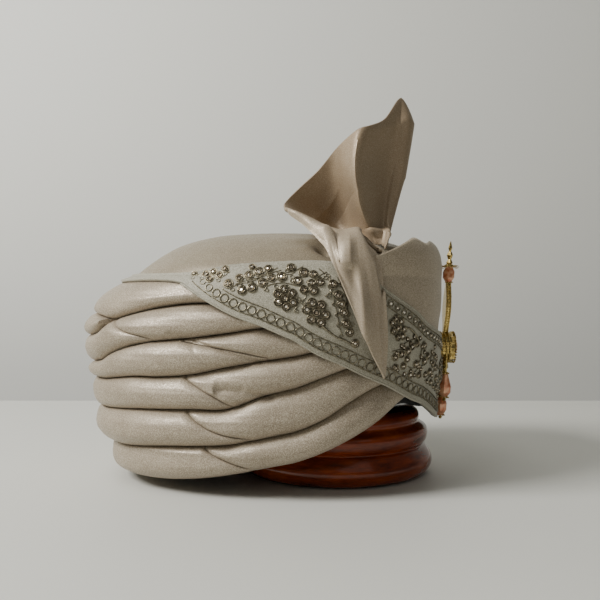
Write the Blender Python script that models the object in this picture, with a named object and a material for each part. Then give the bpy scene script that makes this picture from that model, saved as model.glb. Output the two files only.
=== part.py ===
"""A tied pagri turban with an embroidered band, a cloth plume and a brooch, on its turned wooden stand.

Metres, +Z up. The wearer's front is +X and the wearer's right is -Y.
The origin is the centre of the stand's flat underside.
A turn is an angle in degrees round the head: 0 at the front, 90 at the wearer's right,
180 at the back and 270 at the wearer's left.
"""

import math

import bmesh
import bpy
from mathutils import Vector

# Head hollow
HEAD_LENGTH = 0.200
HEAD_WIDTH = 0.156
HOLLOW_WALL = 0.054
HOLLOW_DOME = 0.096
HOLLOW_BASE = 0.016
LINING_WALL = 0.002
PLAN_POWER = 2.2
DOME_POWER = 2.2

# Wound cloth round the head
BACK_PADDING = 0.053
SIDE_PADDING = 0.0305
FRONT_PADDING = 0.0098
WRAP_BASE = 0.009
WRAP_RISE = 0.134
CREASE_DEPTH = 0.007
CREASE_SHARE = 0.36
BULGE_LEAN = 0.8
BULGE_POWER = 2.6
BULGE_ROUND = 0.55
RIM_DEPTH = 1.6
TOP_DEPTH = 0.1
SEAM_SHARE = 0.17
SEAM_END = 0.0012
CROWN_RISE = 0.0345

# Cloth sheets
CLOTH = 0.002
BAND_THICKNESS = 0.002
PANEL_SPAN = 63.0
PANEL_TUCK = 0.36
PANEL_RISE = 0.027
LINING_RISE = 0.003
LINING_DROP = 0.022
LINING_TUCK = 0.020
LINING_TURN = 45.0
TUCK_TURN = 148.5

# Plume
NECK_TURN = 52.0
NECK_SHARE = 0.80
NECK_RADIUS = 0.009
PLUME_REACH = 0.065
PLUME_RISE = 0.100
PLUME_DEPTH = 0.020
SHOULDER_RISE = 0.012
TAIL_DROP = 0.075
TAIL_SEAT = 0.001
LIP_PUFF = 0.15
LIP_START = 0.55
SHOULDER_START = 0.45

# Stand
STAND_RADIUS = 0.0725
STAND_TOP = 0.048
POST_RADIUS = 0.020
FLARE_RISE = 0.008
FLARE_SHARE = 1.5
BLOCK_RADIUS = 0.056
BLOCK_BASE = 0.112
STAND_FRONT_STEP = 0.0045

# Brooch
BROOCH_HEIGHT = 0.092
BROOCH_LEAN = 0.06
BROOCH_SEAT = 0.0011
DRUM_RADIUS = 0.0115
DRUM_DEPTH = 0.008
DISC_RADIUS = 0.012
DISC_DEPTH = 0.003
DISC_PETALS = 8
PETAL_SHARE = 0.07
STONE_RADIUS = 0.0065
STONE_DEPTH = 0.0022
LEAF_START = 0.8
LEAF_LENGTH = 0.040
LEAF_WIDTH = 0.015
LEAF_DEPTH = 0.004
WIRE_RADIUS = 0.0008
WIRE_SHARE = 0.55
KNOB_RADIUS = 0.0016
KNOB_LENGTH = 0.0024
BEAD_RADIUS = 0.0048
BEAD_LENGTH = 0.013
FINIAL_LENGTH = 0.018
FINIAL_RADIUS = 0.0026
ROSETTE_START = 0.85
ROSETTE_RADIUS = 0.004
ROSETTE_LENGTH = 0.009
DROP_RADIUS = 0.0050
DROP_LENGTH = 0.018
DROP_SPREAD = 0.0106
TIP_RADIUS = 0.0048
TIP_LENGTH = 0.0145

# Clearances between touching pieces
GAP = 0.0003
CREASE_GAP = 0.0004
SEAT = 0.0005
BAND_SEAT = 0.0007
ROOF_GAP = 0.0013

# Numbers of sides of the round pieces
STAND_SIDES = 32
POST_SIDES = 24
DISC_SIDES = 24
DRUM_SIDES = 16
STONE_SIDES = 12
BEAD_SIDES = 10
TURNED_SIDES = 8
WIRE_SIDES = 6

# Edges sharper than these angles stay sharp
CLOTH_ANGLE = 40.0
SHEET_ANGLE = 60.0
WOOD_ANGLE = 30.0
METAL_ANGLE = 20.0

# Sections of the wound pieces: the step between them, and where they are twice as close
STATION_STEP = 4.5
SEAM_FIRST = 90.0
SEAM_LAST = 153.0

# Worked out from the sizes above
HALF_LENGTH = HEAD_LENGTH / 2
HALF_WIDTH = HEAD_WIDTH / 2
HEAD_CENTRE = STAND_RADIUS - STAND_FRONT_STEP - HALF_LENGTH
DOME_START = HOLLOW_BASE + HOLLOW_WALL
WRAP_TOP = WRAP_BASE + WRAP_RISE

# Creases between the wound rolls: heights as shares of WRAP_RISE, one row for each turn
CREASE_NAMES = ("bottom", "six", "five", "four", "three", "tuck", "two", "one")
CREASES = (
    # turn, bottom, six, five, four, three, tuck, two, one
    (0, 0.470, 0.530, 0.590, 0.650, 0.701, 0.742, 0.743, 0.787),
    (15, 0.463, 0.530, 0.590, 0.650, 0.701, 0.742, 0.743, 0.787),
    (30, 0.440, 0.526, 0.593, 0.657, 0.709, 0.749, 0.750, 0.795),
    (45, 0.396, 0.515, 0.597, 0.668, 0.724, 0.764, 0.765, 0.810),
    (60, 0.282, 0.466, 0.590, 0.679, 0.743, 0.786, 0.787, 0.836),
    (70, 0.216, 0.403, 0.567, 0.672, 0.757, 0.805, 0.806, 0.858),
    (80, 0.157, 0.321, 0.522, 0.653, 0.769, 0.820, 0.821, 0.881),
    (90, 0.103, 0.261, 0.466, 0.619, 0.765, 0.839, 0.840, 0.910),
    (97, 0.075, 0.228, 0.425, 0.595, 0.753, 0.857, 0.858, 0.940),
    (105, 0.045, 0.198, 0.369, 0.567, 0.728, 0.872, 0.873, 0.970),
    (115, 0.016, 0.184, 0.362, 0.530, 0.705, 0.872, 0.873, 0.985),
    (126, -0.004, 0.173, 0.354, 0.513, 0.687, 0.852, 0.853, 0.989),
    (135, -0.012, 0.160, 0.347, 0.510, 0.664, 0.824, 0.825, 0.993),
    (146, -0.015, 0.146, 0.336, 0.493, 0.619, 0.780, 0.793, 0.995),
    (153, -0.015, 0.143, 0.330, 0.483, 0.582, 0.728, 0.802, 0.996),
    (165, -0.015, 0.138, 0.325, 0.478, 0.563, 0.701, 0.818, 0.996),
    (180, -0.015, 0.134, 0.321, 0.478, 0.552, 0.701, 0.821, 0.996),
)

# Outer surface that the rolls fill: shares of WRAP_RISE, then of the back, side and front padding
BODY = (
    # height, back, side, front
    (0.000, 0.640, 0.754, 0.480),
    (0.120, 0.690, 0.820, 0.480),
    (0.160, 0.790, 0.890, 0.480),
    (0.246, 0.877, 0.934, 0.480),
    (0.440, 0.902, 0.951, 0.500),
    (0.590, 0.953, 0.984, 0.530),
    (0.687, 1.000, 1.000, 0.540),
    (0.776, 0.972, 0.984, 0.640),
    (0.836, 0.906, 0.951, 0.780),
    (0.903, 0.792, 0.902, 0.840),
    (0.948, 0.660, 0.852, 0.850),
    (0.985, 0.491, 0.787, 0.860),
    (1.000, 0.377, 0.754, 0.860),
)

# Crown above the rolls: shares of CROWN_RISE, then of the reach at its foot
CROWN = (
    # rise, back, side, front
    (0.000, 1.000, 1.000, 1.000),
    (0.203, 0.930, 0.965, 0.995),
    (0.377, 0.865, 0.900, 0.965),
    (0.551, 0.790, 0.822, 0.900),
    (0.696, 0.715, 0.723, 0.790),
    (0.812, 0.625, 0.604, 0.640),
    (0.899, 0.530, 0.475, 0.490),
    (0.957, 0.420, 0.340, 0.340),
    (0.991, 0.220, 0.170, 0.170),
)

# Wound rolls, each one turn of cloth. It starts with a nose on the wearer's right, runs
# forwards round the head, and its tail passes under its own nose along a seam.
ROLLS = (
    # name, lower crease, upper crease, nose turn, tail turn, seam bend
    ("wrap_2", "three", "tuck", 144.0, 126.0, -0.10),
    ("wrap_3", "four", "three", 117.0, 94.5, 0.10),
    ("wrap_4", "five", "four", 117.0, 103.5, 0.00),
    ("wrap_5", "six", "five", 117.0, 99.0, -0.10),
    ("wrap_6", "bottom", "six", 112.5, 99.0, 0.00),
)

# Band: the heights of its two edges as shares of WRAP_RISE
BAND = (
    # turn, lower edge, upper edge
    (0, 0.231, 0.690),
    (12, 0.250, 0.692),
    (22, 0.284, 0.722),
    (37, 0.366, 0.776),
    (45, 0.400, 0.832),
    (58, 0.478, 0.920),
    (66, 0.522, 0.990),
    (75, 0.582, 1.052),
    (84, 0.642, 1.066),
    (95, 0.760, 1.060),
    (102, 0.815, 1.054),
    (109, 0.880, 1.046),
    (114, 0.925, 1.032),
    (120, 0.965, 1.016),
    (131, 0.980, 1.012),
    (150, 0.982, 1.014),
    (180, 0.982, 1.014),
)

# Front panel: the height of its top edge above the rolls, as a share of PANEL_RISE
PANEL_TOP = (
    # turn, top edge
    (0, 0.740),
    (8, 0.765),
    (15, 0.850),
    (25, 0.940),
    (33, 0.860),
    (40, 0.970),
    (47, 0.850),
    (54, 0.690),
    (63, 0.480),
)

# How far the front panel leans in above the rolls
PANEL_LEAN = (
    # height as a share of PANEL_RISE, reach as a share of the crown's foot
    (0.000, 1.000),
    (0.300, 1.004),
    (0.600, 0.996),
    (0.800, 0.978),
    (1.000, 0.945),
)

# Plume: one column of cloth for each row, from its neck to its free edge. The neck angle
# goes round the neck. Reach, rise and depth are shares of the plume's sizes, from its neck.
PLUME_LEAF = (
    # neck angle, edge reach, rise, depth, then the column's bow in reach, rise, depth
    (-20, 0.400, 0.893, 0.75, 0.010, 0.00, 0.20),
    (5, 0.270, 1.020, 0.95, 0.000, 0.00, 0.60),
    (30, 0.090, 0.865, 0.60, -0.040, 0.00, 0.50),
    (50, -0.150, 0.785, 0.00, -0.150, 0.00, -0.20),
    (72, -0.400, 0.675, 0.75, -0.080, 0.00, 0.40),
    (95, -0.590, 0.545, 1.05, -0.020, -0.02, 0.75),
    (120, -0.780, 0.430, 1.05, 0.000, -0.04, 0.85),
    (148, -0.915, 0.330, 0.70, 0.000, -0.05, 0.60),
    (174, -0.950, 0.265, 0.05, 0.000, -0.03, 0.10),
)

# Lip of the plume: columns that turn over its front and end in the air
PLUME_LIP = (
    # neck angle, lip reach, rise, depth, edge reach, rise, depth
    (196, -0.880, 0.235, -0.50, -0.880, 0.200, -0.66),
    (212, -0.740, 0.215, -0.75, -0.717, 0.105, -1.05),
    (227, -0.575, 0.172, -0.80, -0.594, 0.015, -1.40),
    (240, -0.450, 0.148, -0.80, -0.508, -0.060, -1.70),
)

# Tail of the plume: columns that turn over the lip, pass the shoulder and lie on the band
PLUME_TAIL = (
    # neck angle, lip reach, rise, depth, shoulder turn, edge turn, edge drop
    (252, -0.360, 0.133, -0.80, 76.5, 76.5, 0.22),
    (262, -0.275, 0.127, -0.80, 73.0, 72.0, 0.52),
    (271, -0.205, 0.115, -0.80, 70.0, 67.0, 0.80),
    (280, -0.155, 0.090, -0.75, 67.0, 62.5, 0.97),
    (290, -0.110, 0.040, -0.65, 64.5, 60.5, 1.00),
    (302, -0.070, -0.010, -0.50, 62.5, 59.5, 0.70),
)

# Where the rows of points lie on each cloth piece, as shares of its depth from one edge
OUTER_STEPS = (0.0, 0.08, 0.28, 0.54, 0.82, 1.0)
LINING_ROWS = (0.0, 0.6, 1.0)
PANEL_ROWS = (0.0, 0.2, 0.4, 0.6, 0.78, 0.90, 1.0)
CROWN_ROOF = (0.03, 0.12, 0.27, 0.48, 0.72, 1.0)
CROWN_EDGE = (0.0, 0.5)
LEAF_ROWS = (0.0, 0.08, 0.20, 0.36, 0.54, 0.72, 0.88, 1.0)
LIP_ROWS = (0.15, 0.36, 0.58, 0.80, 1.0)
TAIL_ROWS = (0.34, 0.67, 1.0)
BAND_ROWS = (
    # share of the band's depth, share of the room for the panel under it
    (0.00, 0.0),
    (0.25, 0.0),
    (0.52, 1.0),
    (0.74, 1.0),
    (0.88, 1.0),
    (1.00, 1.0),
)

# Turned profile of the stand's base, as shares of its radius and height
STAND_PROFILE = (
    # radius, height
    (0.880, 0.000),
    (0.955, 0.050),
    (1.000, 0.160),
    (0.995, 0.280),
    (0.945, 0.410),
    (0.915, 0.455),
    (0.945, 0.520),
    (0.960, 0.620),
    (0.945, 0.710),
    (0.870, 0.790),
    (0.876, 0.870),
    (0.855, 0.950),
    (0.800, 1.000),
)
BLOCK_ROWS = (1.0, 0.75, 0.5, 0.25)

# Outlines of the brooch's pieces: radius and height, or for the leaf height and half width,
# as shares of each piece's sizes
BEAD_OUTLINE = ((0.45, 0.0), (0.92, 0.27), (0.95, 0.62), (0.45, 1.0))
DROP_OUTLINE = ((0.35, 0.0), (0.92, 0.20), (0.95, 0.45), (0.35, 1.0))
KNOB_OUTLINE = ((0.5, 0.0), (1.0, 0.5), (0.5, 1.0))
ROSETTE_OUTLINE = ((0.5, 0.0), (1.0, 0.35), (0.9, 0.65), (0.4, 1.0))
STONE_OUTLINE = ((0.75, 0.0), (1.0, 0.45), (0.6, 1.0))
WIRE_OUTLINE = ((1.0, 0.0), (1.0, 1.0))
FINIAL_OUTLINE = (
    (0.60, 0.00), (1.00, 0.10), (0.50, 0.24), (0.95, 0.42), (0.35, 0.60), (0.60, 0.72),
    (0.15, 1.00),
)
LEAF_OUTLINE = ((0.0, 0.22), (0.15, 0.34), (0.35, 0.80), (0.52, 1.0), (0.72, 0.84), (1.0, 0.14))

COLOURS = {
    # red, green, blue, roughness, metallic
    "satin": (0.50, 0.44, 0.38, 0.55, 0.0),
    "band_cloth": (0.62, 0.61, 0.55, 0.60, 0.0),
    "lining": (0.02, 0.02, 0.02, 0.85, 0.0),
    "stand_wood": (0.20, 0.035, 0.015, 0.18, 0.0),
    "gold": (0.83, 0.62, 0.27, 0.25, 1.0),
    "pink_glass": (0.86, 0.42, 0.36, 0.08, 0.0),
}


def clear_scene():
    for item in list(bpy.data.objects):
        bpy.data.objects.remove(item, do_unlink=True)


def material(slot):
    found = bpy.data.materials.get(slot)
    if found:
        return found
    made = bpy.data.materials.new(slot)
    made.use_nodes = True
    red, green, blue, roughness, metallic = COLOURS[slot]
    shader = made.node_tree.nodes["Principled BSDF"]
    shader.inputs["Base Color"].default_value = (red, green, blue, 1.0)
    shader.inputs["Roughness"].default_value = roughness
    shader.inputs["Metallic"].default_value = metallic
    made.diffuse_color = (red, green, blue, 1.0)
    return made


def add_object(name, mesh, slot, smooth_angle):
    piece = bpy.data.objects.new(name, mesh)
    bpy.context.scene.collection.objects.link(piece)
    mesh.materials.append(material(slot))
    mesh.shade_smooth()
    mesh.set_sharp_from_angle(angle=math.radians(smooth_angle))
    return piece


def mesh_from(name, bm):
    bmesh.ops.recalc_face_normals(bm, faces=bm.faces[:])
    mesh = bpy.data.meshes.new(name)
    bm.to_mesh(mesh)
    bm.free()
    return mesh


def skin(bm, rings, closed=False, first_pole=None, last_pole=None):
    """Triangles between successive rings of points, with fans to the poles or flat ends.

    The last side of each ring is split the other way, so that the upper face of one roll
    and the lower face of the next have the same diagonals.
    """
    loops = [[bm.verts.new(point) for point in ring] for ring in rings]
    pairs = list(zip(loops, loops[1:]))
    if closed:
        pairs.append((loops[-1], loops[0]))
    count = len(loops[0])
    for one, two in pairs:
        for i in range(count - 1):
            bm.faces.new((one[i], one[i + 1], two[i + 1]))
            bm.faces.new((one[i], two[i + 1], two[i]))
        if first_pole is None:
            bm.faces.new((one[-1], one[0], two[-1]))
            bm.faces.new((one[0], two[0], two[-1]))
        else:
            bm.faces.new((one[-1], one[0], two[0]))
            bm.faces.new((one[-1], two[0], two[-1]))
    if closed:
        return
    for loop, pole in ((loops[0], first_pole), (loops[-1], last_pole)):
        if pole is None:
            bm.faces.new(loop)
            continue
        tip = bm.verts.new(pole)
        for i in range(count):
            bm.faces.new((loop[i], loop[(i + 1) % count], tip))


def ring_solid(name, slot, rings, smooth_angle=CLOTH_ANGLE, **ends):
    bm = bmesh.new()
    skin(bm, rings, **ends)
    return add_object(name, mesh_from(name, bm), slot, smooth_angle)


def grid_sheet(name, slot, grid, thickness, outward, closed=False):
    """A cloth sheet from rows of points, thickened on its outward side."""
    bm = bmesh.new()
    loops = [[bm.verts.new(point) for point in row] for row in grid]
    pairs = list(zip(loops, loops[1:]))
    if closed:
        pairs.append((loops[-1], loops[0]))
    for one, two in pairs:
        for i in range(len(one) - 1):
            bm.faces.new((one[i], one[i + 1], two[i + 1], two[i]))
    mesh = bpy.data.meshes.new(name)
    bm.to_mesh(mesh)
    bm.free()
    piece = add_object(name, mesh, slot, SHEET_ANGLE)
    wall = piece.modifiers.new("wall", "SOLIDIFY")
    wall.thickness = thickness
    wall.offset = outward
    wall.use_even_offset = True
    wall.thickness_clamp = 0.0
    return piece


def smooth_read(table, place, column):
    """Value of a column at a place, on a smooth curve through the table's rows."""
    rows = table
    if place <= rows[0][0]:
        return rows[0][column]
    if place >= rows[-1][0]:
        return rows[-1][column]
    last = len(rows) - 1
    index = max(i for i in range(last) if rows[i][0] <= place)
    low, high = rows[index], rows[index + 1]
    span = high[0] - low[0]
    step = high[column] - low[column]

    def slope(i):
        before, after = rows[max(i - 1, 0)], rows[min(i + 1, last)]
        return (after[column] - before[column]) / (after[0] - before[0])

    first, second = slope(index) * span, slope(index + 1) * span
    if step == 0:
        first = second = 0.0
    share = (place - low[0]) / span
    cube = share ** 3
    square = share ** 2
    return (low[column] * (2 * cube - 3 * square + 1) + first * (cube - 2 * square + share)
            + high[column] * (3 * square - 2 * cube) + second * (cube - square))


def from_front(turn):
    """The turn folded to 0 at the front and 180 at the back, the same on both sides."""
    turned = turn % 360.0
    return min(turned, 360.0 - turned)


def signed_power(value, power):
    return math.copysign(abs(value) ** power, value)


def plan_point(turn, front, back, side, height):
    """A point on the rounded plan of the head, by its reach to the front, back and side."""
    cosine = signed_power(math.cos(math.radians(turn)), 2 / PLAN_POWER)
    sine = signed_power(math.sin(math.radians(turn)), 2 / PLAN_POWER)
    reach = front if cosine > 0 else back
    return Vector((HEAD_CENTRE + cosine * reach, -sine * side, height))


def crease_height(turn, name):
    column = 1 + CREASE_NAMES.index(name)
    return WRAP_BASE + WRAP_RISE * smooth_read(CREASES, from_front(turn), column)


def body_reach(height):
    """Front, back and side reach of the wound body's outer surface at a height."""
    share = (height - WRAP_BASE) / WRAP_RISE
    if share <= 1.0:
        back, side, front = (smooth_read(BODY, share, column) for column in (1, 2, 3))
        return (HALF_LENGTH + FRONT_PADDING * front, HALF_LENGTH + BACK_PADDING * back,
                HALF_WIDTH + SIDE_PADDING * side)
    front, back, side = body_reach(WRAP_TOP)
    rise = (height - WRAP_TOP) / CROWN_RISE
    return (front * smooth_read(CROWN, rise, 3), back * smooth_read(CROWN, rise, 1),
            side * smooth_read(CROWN, rise, 2))


def body_point(turn, height, out=0.0):
    """A point on the body's outer surface, moved outwards."""
    front, back, side = body_reach(height)
    return plan_point(turn, front + out, back + out, side + out, height)


def hollow_point(turn, height, out=0.0):
    """A point on the hollow's wall, moved outwards, with the dome growing by the same amount."""
    dome = HOLLOW_DOME + out
    rise = min(max(height - DOME_START, 0.0) / dome, 1.0)
    share = (1.0 - rise ** DOME_POWER) ** (1 / DOME_POWER)
    along, across = (HALF_LENGTH + out) * share, (HALF_WIDTH + out) * share
    return plan_point(turn, along, along, across, height)


def station_turns():
    """Turns of the sections that the wound pieces share, twice as close along the seams."""
    turns = []
    for i in range(round(360.0 / STATION_STEP)):
        turn = STATION_STEP * i
        if i % 2 == 0 or SEAM_FIRST < turn < SEAM_LAST:
            turns.append(turn)
    return turns


STATIONS = station_turns()


def bulge(share):
    """Share of a crease's depth across a roll: all of it at the creases, none at the middle."""
    away = abs(2 * share ** BULGE_LEAN - 1.0)
    return 1.0 - (1.0 - away ** BULGE_POWER) ** BULGE_ROUND


def crease_depth(turn):
    """Depth of the creases at a turn, less where the rolls are pressed thin at the front."""
    bottom, top = crease_height(turn, "bottom"), crease_height(turn, "one")
    middle = (bottom + top) / 2
    thickness = (body_point(turn, middle) - hollow_point(turn, middle, LINING_WALL)).length
    return min(CREASE_DEPTH * (top - bottom) / WRAP_RISE, CREASE_SHARE * thickness)


def roll_section(turn, low, high, roll_low, roll_high, low_depth=1.0, high_depth=1.0):
    """Closed outline of one strand of a roll in its section at a turn."""
    outline = []
    depth = crease_depth(turn)
    for step in OUTER_STEPS:
        height = low + (high - low) * step
        share = min(max((height - roll_low) / (roll_high - roll_low), 0.0), 1.0)
        inset = depth * bulge(share) * (low_depth if share < 0.5 else high_depth)
        if step in (0.0, 1.0):
            inset += depth * SEAM_SHARE
        outline.append(body_point(turn, height, -inset))
    for height in (high, low):
        outline.append(hollow_point(turn, height, LINING_WALL + SEAT))
    return outline


def seam_height(turn, low, high, nose, tail, bend):
    """Height of the diagonal seam where a roll's nose lies over its own tail."""
    share = (turn - tail) / (nose - tail)
    share += bend * math.sin(math.pi * share)
    margin = SEAM_END + CREASE_GAP
    return low + margin + (high - low - 2 * margin) * share


def roll_strand(name, low_name, high_name, nose, tail, bend):
    """One turn of cloth, from its nose at the seam round the head to its tail under the nose."""
    turns = [turn for turn in STATIONS if turn <= nose]
    path = list(reversed(turns))
    path += [turn - 360.0 for turn in reversed(STATIONS) if turn >= tail]
    rings = []
    for turn in path:
        low = crease_height(turn, low_name)
        high = crease_height(turn, high_name)
        right = turn % 360.0
        piece_low, piece_high = low + CREASE_GAP / 2, high - CREASE_GAP / 2
        if tail <= right <= nose:
            seam = seam_height(right, low, high, nose, tail, bend)
            if turn > 0:
                piece_low = seam + CREASE_GAP / 2
            else:
                piece_high = seam - CREASE_GAP / 2
        lower_depth = RIM_DEPTH if low_name == "bottom" else 1.0
        rings.append(roll_section(turn, piece_low, piece_high, low, high, lower_depth))
    return ring_solid(name, "satin", rings)


def roll_ring(name, low_name, high_name):
    """A roll that goes right round the head."""
    rings = []
    for turn in reversed(STATIONS):
        low = crease_height(turn, low_name) + CREASE_GAP / 2
        high = crease_height(turn, high_name) - CREASE_GAP / 2
        rings.append(roll_section(turn, low, high, low, high, 1.0, TOP_DEPTH))
    return ring_solid(name, "satin", rings, closed=True)


def tuck_strand():
    """The short roll at the back that tapers out under the second roll on both sides."""
    rings = []
    for turn in reversed(STATIONS):
        if from_front(turn) < TUCK_TURN:
            continue
        low = crease_height(turn, "tuck") + CREASE_GAP / 2
        high = crease_height(turn, "two") - CREASE_GAP / 2
        rings.append(roll_section(turn, low, high, low, high))
    return ring_solid("wrap_tuck", "satin", rings)


def build_wraps():
    roll_ring("wrap_1", "two", "one")
    tuck_strand()
    for row in ROLLS:
        roll_strand(*row)


def rim_height(turn):
    """Height of the lining's lower edge: inside the lowest roll, and below it at the front."""
    front = math.exp(-(from_front(turn) / LINING_TURN) ** 4)
    return crease_height(turn, "bottom") + LINING_RISE - LINING_DROP * front


def build_lining():
    """Black lining strip round the hollow. It shows only under the front rolls."""
    grid = []
    for turn in STATIONS:
        low = rim_height(turn)
        high = max(DOME_START, crease_height(turn, "bottom") + LINING_TUCK)
        grid.append([hollow_point(turn, low + (high - low) * share) for share in LINING_ROWS])
    return grid_sheet("lining", "lining", grid, LINING_WALL, 1.0, closed=True)


def build_crown():
    """Crown cloth and its padding, from the top roll to the top of the head."""
    rings = []
    for share in CROWN_ROOF:
        ring = []
        for turn in STATIONS:
            low = crease_height(turn, "one") + CREASE_GAP / 2
            drop = DOME_START + HOLLOW_DOME - low
            ring.append(hollow_point(turn, low + drop * (1.0 - share)))
        rings.append(ring)
    for share in CROWN_EDGE:
        ring = []
        for turn in STATIONS:
            low = crease_height(turn, "one") + CREASE_GAP / 2
            ring.append(body_point(turn, low + (WRAP_TOP - low) * share))
        rings.append(ring)
    for row in CROWN:
        height = WRAP_TOP + row[0] * CROWN_RISE
        rings.append([body_point(turn, height) for turn in STATIONS])
    inside = Vector((HEAD_CENTRE, 0, DOME_START + HOLLOW_DOME))
    outside = Vector((HEAD_CENTRE, 0, WRAP_TOP + CROWN_RISE))
    return ring_solid("crown", "satin", rings, first_pole=inside, last_pole=outside)


def band_edges(turn):
    place = from_front(turn)
    return (WRAP_BASE + WRAP_RISE * smooth_read(BAND, place, 1),
            WRAP_BASE + WRAP_RISE * smooth_read(BAND, place, 2))


def panel_base(turn):
    """Height of the front panel's lower edge, tucked behind the band."""
    low, high = band_edges(turn)
    return high - (high - low) * PANEL_TUCK


def build_panel():
    """Stiff front panel of cloth that stands up in front of the crown."""
    grid = []
    for turn in [place - 360.0 for place in STATIONS if place > 180.0] + STATIONS:
        if abs(turn) > PANEL_SPAN:
            continue
        base = panel_base(turn)
        top = WRAP_TOP + PANEL_RISE * smooth_read(PANEL_TOP, from_front(turn), 1)
        row = []
        for share in PANEL_ROWS:
            height = base + (top - base) * share
            if height <= WRAP_TOP:
                point = body_point(turn, height, SEAT)
            else:
                lean = smooth_read(PANEL_LEAN, (height - WRAP_TOP) / PANEL_RISE, 1)
                front, back, side = (reach * lean + SEAT for reach in body_reach(WRAP_TOP))
                point = plan_point(turn, front, back, side, height)
            row.append(point)
        grid.append(row)
    return grid_sheet("front_panel", "satin", grid, CLOTH, 1.0)


def build_band():
    """Embroidered band: a closed loop of cloth, deep at the front and narrow at the back."""
    grid = []
    for turn in STATIONS:
        low, high = band_edges(turn)
        over_panel = (CLOTH + GAP) * (from_front(turn) <= PANEL_SPAN + STATION_STEP)
        row = []
        for share, lift in BAND_ROWS:
            height = low + (high - low) * share
            row.append(body_point(turn, height, BAND_SEAT + over_panel * lift))
        grid.append(row)
    return grid_sheet("band", "band_cloth", grid, BAND_THICKNESS, 1.0, closed=True)


def build_stand_base():
    """Turned base of three stacked rings with a flat underside, as a spun profile."""
    rings = []
    for radius, height in STAND_PROFILE:
        rings.append([Vector((radius * STAND_RADIUS * math.cos(math.tau * i / STAND_SIDES),
                              radius * STAND_RADIUS * math.sin(math.tau * i / STAND_SIDES),
                              height * STAND_TOP)) for i in range(STAND_SIDES)])
    return ring_solid("stand_base", "stand_wood", rings, WOOD_ANGLE)


def dome_height(x, y):
    """Height of the hollow's roof over a place."""
    along = abs(x - HEAD_CENTRE) / HALF_LENGTH
    across = abs(y) / HALF_WIDTH
    share = min((along ** PLAN_POWER + across ** PLAN_POWER) ** (1 / PLAN_POWER), 1.0)
    return DOME_START + HOLLOW_DOME * (1.0 - share ** DOME_POWER) ** (1 / DOME_POWER)


def build_stand_post():
    """Plain post with a block on top that fills the roof of the hollow."""

    def ring(radius, height=None):
        points = []
        for i in range(POST_SIDES):
            x = radius * math.cos(math.tau * i / POST_SIDES)
            y = radius * math.sin(math.tau * i / POST_SIDES)
            points.append(Vector((x, y, height or dome_height(x, y) - ROOF_GAP)))
        return points

    rings = [ring(POST_RADIUS, STAND_TOP + GAP), ring(POST_RADIUS, BLOCK_BASE - FLARE_RISE),
             ring(POST_RADIUS * FLARE_SHARE, BLOCK_BASE), ring(BLOCK_RADIUS, BLOCK_BASE)]
    rings += [ring(BLOCK_RADIUS * share) for share in BLOCK_ROWS]
    top = Vector((0, 0, dome_height(0, 0) - ROOF_GAP))
    return ring_solid("stand_post", "stand_wood", rings, WOOD_ANGLE, last_pole=top)


def surface_height(x, y):
    """Height of the crown's surface over a place, found by halving."""
    low, high = WRAP_TOP, WRAP_TOP + CROWN_RISE
    for _ in range(30):
        middle = (low + high) / 2
        front, back, side = body_reach(middle)
        along = abs(x - HEAD_CENTRE) / (front if x > HEAD_CENTRE else back)
        inside = along ** PLAN_POWER + (abs(y) / side) ** PLAN_POWER < 1.0
        low, high = (middle, high) if inside else (low, middle)
    return low


def neck_centre():
    front, back, side = (reach * NECK_SHARE for reach in body_reach(WRAP_TOP))
    centre = plan_point(NECK_TURN, front, back, side, 0.0)
    centre.z = surface_height(centre.x, centre.y)
    return centre


def neck_point(angle):
    """A point on the plume's neck, where it stands on the crown."""
    centre = neck_centre()
    x = centre.x + NECK_RADIUS * math.cos(math.radians(angle))
    y = centre.y + NECK_RADIUS * math.sin(math.radians(angle))
    return Vector((x, y, surface_height(x, y) + SEAT))


def plume_step(reach, rise, depth):
    return Vector((reach * PLUME_REACH, depth * PLUME_DEPTH, rise * PLUME_RISE))


def tail_point(turn, height):
    """A point just outside the band, or straight above it at the shoulder."""
    out = BAND_SEAT + CLOTH + GAP + BAND_THICKNESS + TAIL_SEAT
    front, back, side = (reach + out for reach in body_reach(min(height, WRAP_TOP)))
    return plan_point(turn, front, back, side, height)


def leaf_column(angle, reach, rise, depth, *bow):
    start = neck_point(angle)
    edge = neck_centre() + plume_step(reach, rise, depth)
    side = plume_step(*bow)
    return [start.lerp(edge, share) + side * math.sin(math.pi * share)
            for share in LEAF_ROWS]


def lip_column(angle, *places):
    start = neck_point(angle)
    lip = neck_centre() + plume_step(*places[:3])
    edge = neck_centre() + plume_step(*places[3:])
    puff = Vector((0.0, -LIP_PUFF, LIP_PUFF / 2)) * (edge - lip).length
    return [start, start.lerp(lip, LIP_START), lip] + [
        lip.lerp(edge, share) + puff * math.sin(math.pi * share) for share in LIP_ROWS]


def tail_column(angle, reach, rise, depth, shoulder_turn, edge_turn, drop):
    start = neck_point(angle)
    lip = neck_centre() + plume_step(reach, rise, depth)
    shoulder_height = WRAP_TOP + SHOULDER_RISE
    shoulder = tail_point(shoulder_turn, shoulder_height)
    puff = Vector((0.0, -LIP_PUFF, LIP_PUFF / 2)) * (shoulder - lip).length
    over = lip.lerp(shoulder, SHOULDER_START) + puff
    column = [start, start.lerp(lip, LIP_START), lip, over, shoulder]
    for share in TAIL_ROWS:
        turn = shoulder_turn + (edge_turn - shoulder_turn) * share
        column.append(tail_point(turn, shoulder_height - TAIL_DROP * drop * share))
    return column


def build_plume():
    """Plume and its tail: one sheet of cloth gathered at the neck."""
    grid = [leaf_column(*row) for row in PLUME_LEAF]
    grid += [lip_column(*row) for row in PLUME_LIP]
    grid += [tail_column(*row) for row in PLUME_TAIL]
    piece = grid_sheet("plume", "satin", grid, CLOTH, 1.0)
    piece.modifiers["wall"].use_even_offset = False


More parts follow.
